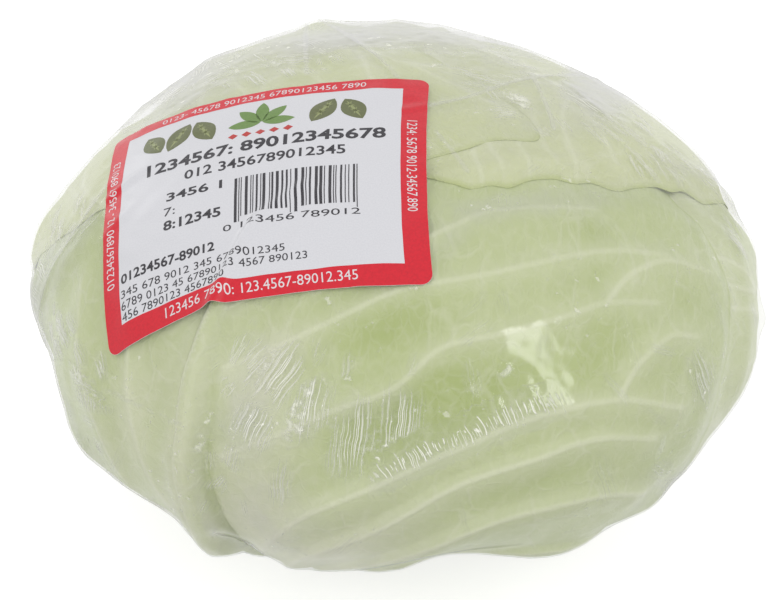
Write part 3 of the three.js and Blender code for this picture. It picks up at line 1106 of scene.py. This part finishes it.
def on_label(places, heights, lift):
    """Points in metres for (right, up) places on the label, lifted off the paper by mm."""
    u, v, grid = heights
    x = np.clip((places[:, 0] - u[0]) / LABEL_STEP, 0, len(u) - 1.001)
    y = np.clip((places[:, 1] - v[0]) / LABEL_STEP, 0, len(v) - 1.001)
    i, j = x.astype(int), y.astype(int)
    fx, fy = x - i, y - j
    left, right = grid[j + 1, i], grid[j, i + 1]
    low = grid[j, i] * (1 - fx - fy) + right * fx + left * fy
    high = grid[j + 1, i + 1] * (fx + fy - 1) + left * (1 - fx) + right * (1 - fy)
    height = np.where(fx + fy < 1, low, high) + lift
    p = LABEL_BASE + places[:, :1] * LABEL_RIGHT + places[:, 1:2] * LABEL_UP
    return (p + height[:, None] * LABEL_FACING) * METRES


def cut_to_grid(shape):
    """Cuts a flat bmesh along the triangles of the label's height grid, so that it can bend."""
    for way in (Vector((1, 0, 0)), Vector((0, 1, 0)), Vector((1, 1, 0))):
        reach = [vert.co.dot(way) / LABEL_STEP for vert in shape.verts]
        for k in range(math.ceil(min(reach)), math.floor(max(reach)) + 1):
            place = way * (k * LABEL_STEP / way.length_squared)
            everything = shape.verts[:] + shape.edges[:] + shape.faces[:]
            bmesh.ops.bisect_plane(shape, geom=everything, plane_co=place, plane_no=way, dist=1e-5)


def rounded_rectangle(width, height, corner, steps=6):
    x, y = width / 2 - corner, height / 2 - corner
    outline = []
    for quarter, (cx, cy) in enumerate(((x, y), (-x, y), (-x, -y), (x, -y))):
        for k in range(steps + 1):
            a = (quarter + k / steps) * math.pi / 2
            outline.append((cx + corner * math.cos(a), cy + corner * math.sin(a)))
    return outline


def build_paper(heights):
    """The label's paper, a thin closed body."""
    shape = bmesh.new()
    outline = rounded_rectangle(LABEL_WIDTH, LABEL_HEIGHT, LABEL_CORNER)
    shape.faces.new([shape.verts.new((x, y, 0)) for x, y in outline])
    cut_to_grid(shape)
    shape.verts.ensure_lookup_table()
    shape.verts.index_update()
    places = np.array([vert.co[:2] for vert in shape.verts])
    faces = [[vert.index for vert in face.verts] for face in shape.faces]
    borders = [e for e in shape.edges if len(e.link_loops) == 1]
    count = len(places)
    sides = []
    for e in borders:
        a = e.link_loops[0].vert.index
        b = e.other_vert(e.link_loops[0].vert).index
        sides.append([b, a, a + count, b + count])
    points = np.vstack([on_label(places, heights, PAPER), on_label(places, heights, 0.0)])
    under = [[i + count for i in reversed(face)] for face in faces]
    shape.free()
    mesh = bpy.data.meshes.new("label_paper")
    mesh.from_pydata(points.tolist(), [], faces + under + sides)
    smooth = np.ones(len(mesh.polygons), bool)
    smooth[-len(sides):] = False
    mesh.polygons.foreach_set("use_smooth", smooth)
    twice = np.vstack([places, places])
    attribute = mesh.attributes.new("label_mm", "FLOAT_VECTOR", "POINT")
    flat = np.hstack([twice, np.zeros((len(twice), 1))])
    attribute.data.foreach_set("vector", flat.astype(np.float32).ravel())
    paper = place_mesh(mesh)
    paper.data.materials.append(paper_material())
    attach(paper, "root")
    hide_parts("label")


class Print:
    """Flat shapes of one ink, gathered in the label's own plane and then laid on the paper."""

    def __init__(self, name, colour):
        self.name, self.colour, self.shape = name, colour, bmesh.new()

    def polygon(self, outline, middle=(0, 0), turn=0.0):
        c, s = turned(turn)
        moved = [(middle[0] + x * c - y * s, middle[1] + x * s + y * c) for x, y in outline]
        self.shape.faces.new([self.shape.verts.new((x, y, 0)) for x, y in moved])

    def box(self, left, bottom, right, top):
        self.polygon([(left, bottom), (right, bottom), (right, top), (left, top)])

    def digits(self, text, left, bottom, height, width, turn, bold):
        """Plain numbers, squeezed or stretched to their height and width in mm."""
        curve = bpy.data.curves.new("digits", "FONT")
        curve.body = text
        curve.resolution_u = 3
        curve.offset = bold
        holder = bpy.data.objects.new("digits", curve)
        mesh = holder.to_mesh()
        co = np.array([vert.co[:] for vert in mesh.vertices])
        tall, wide = co[:, 1].max() - co[:, 1].min(), co[:, 0].max() - co[:, 0].min()
        sx, sy = width / wide, height / tall
        x, y = (co[:, 0] - co[:, 0].min()) * sx, (co[:, 1] - co[:, 1].min()) * sy
        c, s = turned(turn)
        verts = [self.shape.verts.new((left + a * c - b * s, bottom + a * s + b * c, 0))
                 for a, b in zip(x, y)]
        for face in mesh.polygons:
            self.shape.faces.new([verts[i] for i in face.vertices])
        holder.to_mesh_clear()
        bpy.data.objects.remove(holder)
        bpy.data.curves.remove(curve)

    def lay(self, heights, lift):
        for face in self.shape.faces:
            if face.normal.z < 0:
                face.normal_flip()
        cut_to_grid(self.shape)
        bmesh.ops.triangulate(self.shape, faces=self.shape.faces[:])
        places = np.array([vert.co[:2] for vert in self.shape.verts])
        mesh = bpy.data.meshes.new(self.name)
        self.shape.to_mesh(mesh)
        self.shape.free()
        points = on_label(places, heights, PAPER + lift)
        mesh.vertices.foreach_set("co", points.astype(np.float32).ravel())
        mesh.polygons.foreach_set("use_smooth", np.ones(len(mesh.polygons), bool))
        mesh.update()
        ink = place_mesh(mesh)
        ink.data.materials.append(ink_material(self.name, self.colour))
        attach(ink, "root")


def leaf_outline(length, width, steps=10):
    """A pointed leaf about its own middle."""
    t = [k / steps for k in range(steps + 1)]
    upper = [((s - 0.5) * length, width / 2 * math.sin(math.pi * s) ** 0.8) for s in t]
    lower = [(x, -y) for x, y in reversed(upper[1:-1])]
    return (upper + lower)[::-1]


# The label's plain numbers: the text, its left and bottom, height and width in mm, the way it runs
# in degrees, and how much the strokes are thickened.
UPPER_LINES = [
    ("1234567: 89012345678", -29.0, 10.6, 4.2, 60.5, 0, 0.028),
    ("012 3456789012345", -18.5, 5.2, 3.4, 40.5, 0, 0.016),
    ("3456 1", -23.0, -0.9, 2.9, 14.6, 0, 0.02),
    ("7:", -23.6, -5.6, 2.6, 3.0, 0, 0.0),
    ("8:12345", -23.6, -10.4, 3.2, 15.0, 0, 0.024),
]
LOWER_LINES = [
    ("0 123456 789012", -8.0, -15.6, 2.0, 33.5, 0, 0.0),
    ("01234567-89012", -35.7, -20.6, 2.9, 25.5, 0, 0.024),
    ("345 678 9012 345 6789012345", -35.8, -24.4, 2.1, 43.0, 0, 0.0),
    ("6789 0123 45 67890123 4567 890123", -36.0, -27.3, 2.1, 48.5, 0, 0.0),
    ("456 7890123 4567890", -36.0, -30.0, 2.1, 28.5, 0, 0.0),
]
BORDER_LINES = [
    ("0123- 45678 9012345 67890123456 7890", -27.0, 32.45, 2.1, 53.0, 0, 0.0),
    ("123456 7890: 123.4567-89012.345", -24.0, -34.05, 2.6, 48.0, 0, 0.0),
    ("01234567890 12 - 34567 890123", -37.7, -20.0, 2.2, 43.0, 90, 0.0),
    ("1234: 5678 9012-34567.890", 36.4, 17.5, 2.4, 32.5, -90, 0.0),
]
# The inner edges of the red border, in mm from the label's middle.
BORDER_LEFT, BORDER_RIGHT, BORDER_BOTTOM, BORDER_TOP = -36.3, 35.0, -30.35, 31.35
BAR_LEFT, BAR_RIGHT, BAR_TOP, BAR_FOOT, LONG_BAR_FOOT = -5.2, 25.8, 1.2, -11.8, -13.4
BAR_COUNT, BAR_INK = 60, 0.86  # bars and gaps, and the share of its width that a bar fills
# The five olive leaves: how far right each is, and how long.
LEAF_PICTURES = [(-28.0, 9.5), (-21.2, 11), (-14.4, 10.5), (16.0, 11), (23.4, 10)]
LEAF_LEVEL, LEAF_WIDTH = 23.2, 6.0


def build_print(heights):
    red = Print("label_border", srgb(222, 20, 44))
    ring = rounded_rectangle(LABEL_WIDTH, LABEL_HEIGHT, LABEL_CORNER)
    verts = [red.shape.verts.new((x, y, 0)) for x, y in ring]
    corners = ((BORDER_RIGHT, BORDER_TOP), (BORDER_LEFT, BORDER_TOP),
               (BORDER_LEFT, BORDER_BOTTOM), (BORDER_RIGHT, BORDER_BOTTOM))
    inner = [red.shape.verts.new((x, y, 0)) for x, y in corners]
    side = len(ring) // 4
    for quarter in range(4):
        corner = verts[quarter * side:(quarter + 1) * side]
        for a, b in zip(corner, corner[1:]):
            red.shape.faces.new([a, b, inner[quarter]])
        after = verts[(quarter + 1) * side % len(verts)]
        red.shape.faces.new([corner[-1], after, inner[(quarter + 1) % 4], inner[quarter]])
    red.lay(heights, 0.02)

    dark = Print("label_text", srgb(52, 50, 56))
    for line in UPPER_LINES:
        dark.digits(*line)
    draw = np.random.default_rng(3)
    bars = draw.integers(1, 4, BAR_COUNT)
    place, unit = 0, (BAR_RIGHT - BAR_LEFT) / bars.sum()
    for i, wide in enumerate(bars):
        if i % 2 == 0:
            long = i < 3 or i > BAR_COUNT - 4 or abs(i - BAR_COUNT / 2 + 1) <= 1
            x = BAR_LEFT + place * unit
            dark.box(x, LONG_BAR_FOOT if long else BAR_FOOT, x + wide * unit * BAR_INK, BAR_TOP)
        place += wide
    for line in LOWER_LINES:
        dark.digits(*line)
    dark.lay(heights, 0.03)

    white = Print("label_border_text", srgb(236, 228, 230))
    for line in BORDER_LINES:
        white.digits(*line)
    white.lay(heights, 0.04)

    olive = Print("label_leaves", srgb(104, 110, 66))
    pale = Print("label_leaf_veins", srgb(150, 158, 104))
    for k, (x, tall) in enumerate(LEAF_PICTURES):
        turn = 62 if k % 2 else 118
        olive.polygon(leaf_outline(tall, LEAF_WIDTH), (x, LEAF_LEVEL), turn)
        c, s = turned(turn)
        pale.polygon(leaf_outline(tall * 0.8, 0.8), (x, LEAF_LEVEL), turn)
        for step in (-0.1, 0.2):
            for slant in (-38, 38):
                centre = (x + c * tall * step, LEAF_LEVEL + s * tall * step)
                pale.polygon(leaf_outline(3.0, 0.45), centre, turn + slant)
    olive.lay(heights, 0.025)
    pale.lay(heights, 0.035)

    green = Print("label_sprig", srgb(112, 146, 72))
    for turn in (0, 45, 90, 135, 180):
        c, s = turned(turn)
        green.polygon(leaf_outline(8.2, 3.4), (0.6 + 4.4 * c, 21.5 + 4.4 * s), turn)
    green.lay(heights, 0.026)
    scarlet = Print("label_diamonds", srgb(196, 52, 46))
    for k in range(5):
        x = -6.4 + 3.5 * k
        scarlet.polygon([(x - 1.3, 17.4), (x, 16.3), (x + 1.3, 17.4), (x, 18.5)])
    scarlet.lay(heights, 0.028)


# ---------------------------------------------------------------- materials


def srgb(red, green, blue):
    """A colour given on screen from 0 to 255, as the linear one that a shader takes."""
    def linear(c):
        c /= 255
        return c / 12.92 if c <= 0.04045 else ((c + 0.055) / 1.055) ** 2.4

    return (linear(red), linear(green), linear(blue), 1.0)


class Shader:
    """A small helper for building the nodes of a material, or of the world given as holder."""

    def __init__(self, name, holder=None):
        self.holder = holder or bpy.data.materials.new(name)
        self.holder.use_nodes = True
        self.tree = self.holder.node_tree
        self.tree.nodes.clear()

    def add(self, kind, inputs=None, **settings):
        node = self.tree.nodes.new("ShaderNode" + kind)
        for key, value in settings.items():
            setattr(node, key, value)
        for key, value in (inputs or {}).items():
            if isinstance(value, bpy.types.NodeSocket):
                self.tree.links.new(value, node.inputs[key])
            else:
                node.inputs[key].default_value = value
        return node

    def math(self, operation, *values):
        node = self.add("Math", dict(enumerate(values)), operation=operation)
        return node.outputs[0]

    def attribute(self, name, output="Fac"):
        return self.add("Attribute", attribute_name=name).outputs[output]

    def mix(self, share, a, b):
        return self.add("Mix", {0: share, 6: a, 7: b}, data_type="RGBA").outputs[2]

    def clamp(self, value, most=1.0):
        return self.add("Clamp", {"Value": value, "Max": most}).outputs[0]

    def bump(self, height, strength, distance):
        inputs = {"Height": height, "Strength": strength, "Distance": distance}
        return self.add("Bump", inputs).outputs[0]

    def skin(self, colour, rough, bump):
        inputs = {"Base Color": colour, "Roughness": rough, "Normal": bump}
        return self.add("BsdfPrincipled", inputs)

    def step(self, value, low, high, to_low=0.0, to_high=1.0):
        """Goes smoothly from to_low to to_high as value goes from low to high."""
        node = self.add(
            "MapRange",
            {"Value": value, "From Min": low, "From Max": high, "To Min": to_low, "To Max": to_high},
            interpolation_type="SMOOTHSTEP",
        )
        return node.outputs[0]

    def scaled(self, vector, scale):
        node = self.add("Mapping", {"Vector": vector, "Scale": scale})
        return node.outputs[0]

    def noise(self, vector, scale, detail=2.0, rough=0.5):
        inputs = {"Vector": vector, "Scale": scale, "Detail": detail, "Roughness": rough}
        return self.add("TexNoise", inputs).outputs[0]

    def seen_rays(self):
        """1 for the rays that show the background, straight, in gloss or through glass, and 0
        for those that light the object."""
        path = self.add("LightPath").outputs
        seen = self.math("MAXIMUM", path["Is Camera Ray"], path["Is Glossy Ray"])
        return self.math("MAXIMUM", seen, path["Is Transmission Ray"])

    def finish(self, surface):
        self.add("OutputMaterial", {"Surface": surface})
        return self.holder


def leaf_material(name, tint, edge):
    """Waxy cabbage leaf: greener between the ribs, pale along them, with a net of
    fine veins and a yellow-green margin, and painted shade that makes it greener and darker in its
    hollows. Tint is from 0, greener, to 1, paler, and edge the margin's share of its own colour."""
    s = Shader(name)
    place = s.attribute("leaf_mm", "Vector")
    distance, strength = s.attribute("rib_distance"), s.attribute("rib_strength")
    relief, to_margin = s.attribute("relief"), s.attribute("to_margin")
    warp = s.add("TexNoise", {"Vector": place, "Scale": 0.16, "Detail": 2.0}).outputs[1]
    warped = s.add("VectorMath", {0: warp, 1: (5.0, 5.0, 0.0)}, operation="MULTIPLY").outputs[0]
    bent = s.add("VectorMath", {0: place, 1: warped}, operation="ADD").outputs[0]

    def net(scale, wide):
        cells = s.add(
            "TexVoronoi", {"Vector": bent, "Scale": scale}, feature="DISTANCE_TO_EDGE"
        ).outputs["Distance"]
        return s.step(cells, 0.0, wide, 1.0, 0.0)

    coarse, fine = net(0.10, 0.07), net(0.30, 0.12)
    here = s.step(s.noise(place, 0.06, 2.0), 0.42, 0.6)
    coarse = s.math("MULTIPLY", coarse, here)
    patches = s.step(s.noise(place, 0.035, 3.0), 0.36, 0.64)
    mottle = s.noise(place, 0.3, 4.0, 0.6)
    green = s.mix(tint, srgb(160, 180, 92), srgb(212, 218, 160))
    mid = s.mix(tint, srgb(195, 207, 151), srgb(222, 226, 184))
    pale = s.mix(tint, srgb(224, 228, 198), srgb(234, 236, 210))
    # painted shade: the lower the relief, the more of the darker green, so hollows and furrows look
    # shaded
    deep = s.step(relief, -3.0, 0.4, 1.0, 0.0)
    between = s.math("MULTIPLY", s.step(distance, 1.5, 9.0), patches)
    # the leaf's own green between the ribs, plus the painted shade in its hollows
    greener = s.math("MULTIPLY_ADD", between, 0.35, s.math("MULTIPLY", deep, 0.85))
    crest = s.math("MULTIPLY", s.step(distance, 0.2, 1.2, 1.0, 0.0), strength)
    around = s.math("MULTIPLY", s.step(distance, 0.0, 5.0, 0.25, 0.0), strength)
    bleached = s.math("MULTIPLY", s.attribute("pale_place"), s.step(mottle, 0.2, 0.6, 0.55, 0.8))
    rim = s.step(to_margin, 0.2, 2.0, edge, 0.0)
    layers = [
        (s.clamp(greener), green),
        (s.math("MULTIPLY", s.step(mottle, 0.45, 0.75), 0.25), pale),
        (s.math("MULTIPLY", coarse, 0.28), pale),
        (s.math("MULTIPLY", fine, 0.12), pale),
        (around, pale),
        # pale crests of the ribs: vein colour, and where the crest is strongest, along the midrib's
        # left edge, also a painted highlight
        (s.clamp(s.math("MULTIPLY", crest, 0.7)), srgb(236, 239, 210)),
        (bleached, srgb(229, 229, 206)),
        (rim, srgb(182, 196, 100)),
    ]
    colour = mid
    for share, paint in layers:
        colour = s.mix(share, colour, paint)
    height = s.math("ADD", s.math("MULTIPLY", coarse, 0.5), s.math("MULTIPLY", fine, 0.25))
    height = s.math("ADD", height, s.math("MULTIPLY", mottle, 0.5))
    height = s.math("ADD", height, s.math("MULTIPLY", crest, 1.2))
    bump = s.bump(height, 0.4, 0.0005)
    rough = s.step(mottle, 0.3, 0.7, 0.42, 0.58)
    skin = s.skin(colour, rough, bump)
    skin.inputs["Specular IOR Level"].default_value = 0.35
    return s.finish(skin.outputs[0])


def stalk_material():
    s = Shader("stalk_cut")
    place = s.add("TexCoord").outputs["Object"]
    fibres = s.noise(place, 900.0, 4.0, 0.6)
    flat = s.scaled(place, (1.0, 1.0, 0.0))
    reach = s.add("VectorMath", {0: flat}, operation="LENGTH").outputs["Value"]
    off_ring = s.math("ABSOLUTE", s.math("DIVIDE", s.math("SUBTRACT", reach, 0.0095), 0.0016))
    ring = s.math("SUBTRACT", 1.0, off_ring)
    colour = s.mix(s.step(fibres, 0.35, 0.7), srgb(226, 226, 196), srgb(206, 208, 168))
    colour = s.mix(s.math("MULTIPLY", s.step(ring, 0.0, 1.0), 0.5), colour, srgb(186, 190, 140))
    bump = s.bump(fibres, 0.5, 0.0004)
    rough = s.step(fibres, 0.3, 0.7, 0.55, 0.75)
    cut = s.skin(colour, rough, bump)
    return s.finish(cut.outputs[0])


def film_material():
    """Clear shrink film: almost invisible where it lies on a leaf, milky where it spans a
    pocket of air or is seen edge on, with fine pleats and a clear gloss. The white of the pleats,
    flecks and knots is painted glints."""
    s = Shader("shrink_film")
    place = s.add("TexCoord").outputs["Object"]
    across, along = s.attribute("pleat_across"), s.attribute("pleat_along")
    bend = s.math("MULTIPLY_ADD", s.noise(place, 170.0, 1.0), 1.5, -0.75)
    amount = s.attribute("pleats")
    soft = s.step(amount, 0.6, 1.0, 1.0, 0.0)

    def pleat_set(spacing, start):
        """Separate fine lines side by side, each with its own place, width and length."""
        position = s.math("ADD", s.math("MULTIPLY_ADD", across, spacing, start), bend)
        line = s.math("FLOOR", position)
        luck = s.add("TexWhiteNoise", {"W": line}, noise_dimensions="1D").outputs["Color"]
        one, two, three = s.add("SeparateColor", {0: luck}).outputs
        middle = s.math("MULTIPLY_ADD", one, 0.5, 0.25)
        off = s.math("ABSOLUTE", s.math("SUBTRACT", s.math("FRACT", position), middle))
        width = s.math("MULTIPLY_ADD", two, 0.12, 0.05)
        width = s.math("MULTIPLY_ADD", soft, s.math("MULTIPLY", one, 0.16), width)
        near = s.math("SUBTRACT", 1.0, s.math("DIVIDE", off, width))
        reach = s.math("MULTIPLY_ADD", three, 0.7, 0.3)
        shift = s.math("MULTIPLY_ADD", two, 0.7, -0.35)
        far = s.math("ABSOLUTE", s.math("SUBTRACT", along, shift))
        inside = s.step(s.math("SUBTRACT", reach, far), 0.0, 0.3)
        return s.math("MULTIPLY", s.step(near, 0.0, 0.8), inside)

    # the pleats' lines: bumps in the gloss, and white lines that are painted glints
    pleats = s.math("MAXIMUM", pleat_set(1.0, 0.0), pleat_set(1.63, 37.4))
    pleats = s.math("MULTIPLY", pleats, s.step(amount, 0.1, 0.8))
    pleats = s.math("MULTIPLY", pleats, s.math("MULTIPLY_ADD", soft, -0.4, 1.0))
    crackle = s.noise(place, 420.0, 3.0, 0.6)
    busy = s.step(s.noise(place, 45.0, 2.0), 0.5, 0.62)
    busy = s.math("MULTIPLY_ADD", s.step(amount, 0.2, 0.9), 0.8, busy)
    # painted glints: small white flecks where the film is crumpled
    painted_sparkle = s.math("MULTIPLY", s.step(crackle, 0.62, 0.71), busy)
    # painted highlight: white where the film is gathered
    knot = s.math("MULTIPLY", s.step(s.attribute("knot"), 0.1, 0.6), s.step(crackle, 0.38, 0.66))
    seam = s.step(s.math("ABSOLUTE", s.attribute("seam")), 0.2, 0.9, 1.0, 0.0)
    seam = s.math("MULTIPLY", seam, s.step(s.noise(place, 500.0, 2.0), 0.48, 0.6))
    fold = s.step(s.attribute("fold"), 0.2, 1.0, 1.0, 0.0)
    spans = s.step(s.attribute("standoff"), 1.0, 6.0)
    ragged = s.math("MULTIPLY_ADD", s.noise(place, 110.0, 2.0, 0.6), 0.6, -0.3)
    cloudy = s.step(s.math("ADD", s.attribute("cloud"), ragged), 0.05, 1.05)
    spans = s.math("MAXIMUM", s.math("MULTIPLY", spans, 0.35), cloudy)
    cloud = s.step(s.noise(place, 60.0, 1.0), 0.3, 0.7, 0.75, 1.15)
    creased = s.step(amount, 0.05, 0.7, 0.0, 0.3)
    spans = s.math("MAXIMUM", spans, creased)
    clearness = s.math("MULTIPLY_ADD", s.math("MULTIPLY", spans, cloud), -0.34, 0.965)
    facing = s.add("LayerWeight", {"Blend": 0.5}).outputs["Facing"]
    thick = s.math("DIVIDE", 1.0, s.math("SUBTRACT", 1.05, facing))
    haze = s.math("SUBTRACT", 1.0, s.math("POWER", clearness, thick))
    # the pleats, flecks and knots whiten the film as painted glints
    for mark, weight in ((pleats, 0.8), (painted_sparkle, 0.38), (seam, 0.15), (fold, 0.22), (knot, 0.55)):
        haze = s.math("MULTIPLY_ADD", mark, weight, haze)
    haze = s.clamp(haze, 0.92)
    height = s.math("MULTIPLY_ADD", crackle, 0.12, pleats)
    height = s.math("MULTIPLY_ADD", knot, 1.0, height)
    bump = s.bump(height, 0.5, 0.0003)
    # painted glints: the pleats, flecks and knots are whiter and less translucent
    painted_glint = s.math("MAXIMUM", s.math("MAXIMUM", pleats, painted_sparkle), knot)
    white = s.mix(painted_glint, srgb(224, 223, 226), srgb(252, 252, 240))
    front = s.add("BsdfDiffuse", {"Color": white}).outputs[0]
    back = s.add("BsdfTranslucent", {"Color": white}).outputs[0]
    behind = s.math("MULTIPLY_ADD", painted_glint, -0.2, 0.25)
    veil = s.add("MixShader", {0: behind, 1: front, 2: back}).outputs[0]
    clear = s.add("BsdfTransparent", {"Color": (0.99, 0.99, 0.99, 1)}).outputs[0]
    body = s.add("MixShader", {0: haze, 1: clear, 2: veil}).outputs[0]
    gloss_inputs = {"Color": (1, 1, 1, 1), "Roughness": 0.12, "Normal": bump}
    gloss = s.add("BsdfGlossy", gloss_inputs).outputs[0]
    fresnel = s.add("Fresnel", {"IOR": 1.42, "Normal": bump}).outputs[0]
    fresnel = s.math("MINIMUM", fresnel, 0.22)
    return s.finish(s.add("MixShader", {0: fresnel, 1: body, 2: gloss}).outputs[0])


def paper_material():
    s = Shader("label_white")
    place = s.attribute("label_mm", "Vector")
    grain = s.noise(place, 2.5, 4.0, 0.6)
    colour = s.mix(s.step(grain, 0.3, 0.7), srgb(219, 219, 224), srgb(226, 226, 230))
    bump = s.bump(grain, 0.15, 0.0002)
    rough = s.step(grain, 0.3, 0.7, 0.30, 0.38)
    paper = s.skin(colour, rough, bump)
    return s.finish(paper.outputs[0])


def ink_material(name, colour):
    s = Shader(name)
    place = s.add("TexCoord").outputs["Object"]
    grain = s.noise(place, 1600.0, 3.0, 0.6)
    darker = tuple(c * 0.88 for c in colour[:3]) + (1.0,)
    ink = s.mix(s.step(grain, 0.35, 0.7), colour, darker)
    bump = s.bump(grain, 0.1, 0.0002)
    rough = s.step(grain, 0.3, 0.7, 0.28, 0.36)
    layer = s.skin(ink, rough, bump)
    return s.finish(layer.outputs[0])


# ---------------------------------------------------------------- studio

CAMERA_ELEVATION = 35.0
CAMERA_DISTANCE = 0.9
CAMERA_LENS = 160.9
CAMERA_DROP, CAMERA_LEFT = 0.00248, 0.00035  # the aim, off the centre of the head

WORLD_LIGHT = 0.8  # on the object; where the world itself shows, it is plain white
# Name, azimuth, elevation, distance, width and height, and energy.
LIGHTS = [
    ("softbox", -37, 41, 2.0, (0.30, 0.62), 4.0),
    ("fill", -128, 24, 2.2, (2.0, 2.0), 6.2),
    ("rim", 130, 16, 2.0, (0.5, 0.4), 1.5),
]
FLOOR_REACH = 6.0
FLOOR_COLOUR = (0.6, 0.6, 0.6, 1)
FLOOR_GLOW = 0.72  # seen, and in reflections, but casting no light on the object


def area_light(name, azimuth, elevation, distance, size, energy):
    lamp = bpy.data.lights.new(name, "AREA")
    lamp.shape, lamp.size, lamp.size_y, lamp.energy = "RECTANGLE", size[0], size[1], energy
    holder = bpy.data.objects.new(name, lamp)
    bpy.context.scene.collection.objects.link(holder)
    way = Vector(direction(azimuth, elevation))
    holder.location = way * distance + Vector((0, 0, CENTRE_HEIGHT * METRES))
    holder.rotation_euler = way.to_track_quat("Z", "Y").to_euler()


def build_studio():
    scene = bpy.context.scene
    sky = Shader("studio", bpy.data.worlds.new("studio"))
    scene.world = sky.holder
    strength = sky.math("MULTIPLY_ADD", sky.seen_rays(), 1 - WORLD_LIGHT, WORLD_LIGHT)
    light = sky.add("Background", {"Color": (1, 1, 1, 1), "Strength": strength})
    sky.add("OutputWorld", {"Surface": light.outputs[0]})

    s = Shader("studio_floor")
    matte = s.add("BsdfDiffuse", {"Color": FLOOR_COLOUR}).outputs[0]
    strength = s.math("MULTIPLY", s.seen_rays(), FLOOR_GLOW)
    glow = s.add("Emission", {"Strength": strength}).outputs[0]
    surface = s.add("AddShader", {0: matte, 1: glow}).outputs[0]
    mesh = bpy.data.meshes.new("floor")
    r = FLOOR_REACH
    mesh.from_pydata([(-r, -r, 0), (r, -r, 0), (r, r, 0), (-r, r, 0)], [], [(0, 1, 2, 3)])
    floor = place_mesh(mesh)
    floor.data.materials.append(s.finish(surface))

    for light in LIGHTS:
        area_light(*light)

    camera = bpy.data.cameras.new("camera")
    camera.lens, camera.sensor_width = CAMERA_LENS, 36
    holder = bpy.data.objects.new("camera", camera)
    scene.collection.objects.link(holder)
    scene.camera = holder
    e = math.radians(CAMERA_ELEVATION)
    forward = Vector((0, math.cos(e), -math.sin(e)))
    up = Vector((0, math.sin(e), math.cos(e)))
    aim = Vector((-CAMERA_LEFT, 0, CENTRE_HEIGHT * METRES)) - up * CAMERA_DROP
    holder.location = aim - forward * CAMERA_DISTANCE
    holder.rotation_euler = forward.to_track_quat("-Z", "Y").to_euler()
    scene.view_settings.view_transform = "Standard"


# ---------------------------------------------------------------- build

# Small waves of each leaf's margin: how many round it, their height in degrees, and phase.
WAVES = [
    [(9, 0.7, 1.0), (17, 0.4, 2.0)],
    [(11, 0.6, 0.5), (19, 0.4, 0.0)],
    [(13, 0.9, 1.2), (31, 0.45, 0.4), (47, 0.25, 2.0)],
    [(10, 0.8, 0.3), (23, 0.4, 1.0)],
]
for leaf, waves in zip(LEAVES, WAVES):
    leaf["waves"] = waves

RIBS = [
    feathered_ribs(LEAVES[0], 0, 6),
    front_ribs(),
    feathered_ribs(LEAVES[2], 0, 7),
    feathered_ribs(LEAVES[3], 345, 7),
]
FINENESS = [101, 139, 121, 111]  # places a side of each leaf's inner grid
TINTS = [0.5, 0.35, 0.85, 0.8]
EDGES = [0.5, 0.5, 0.45, 0.25]  # how clearly each leaf's margin is yellow-green

build_studio()
for layer in range(len(LEAVES)):
    blade = build_leaf(layer, FINENESS[layer])
    skin = leaf_material(LEAVES[layer]["name"] + "_skin", TINTS[layer], EDGES[layer])
    blade.data.materials.append(skin)
build_head()
build_stalk()
film_points, film_faces = build_film()
paper_heights = label_heights(film_points, film_faces)
build_paper(paper_heights)
build_print(paper_heights)
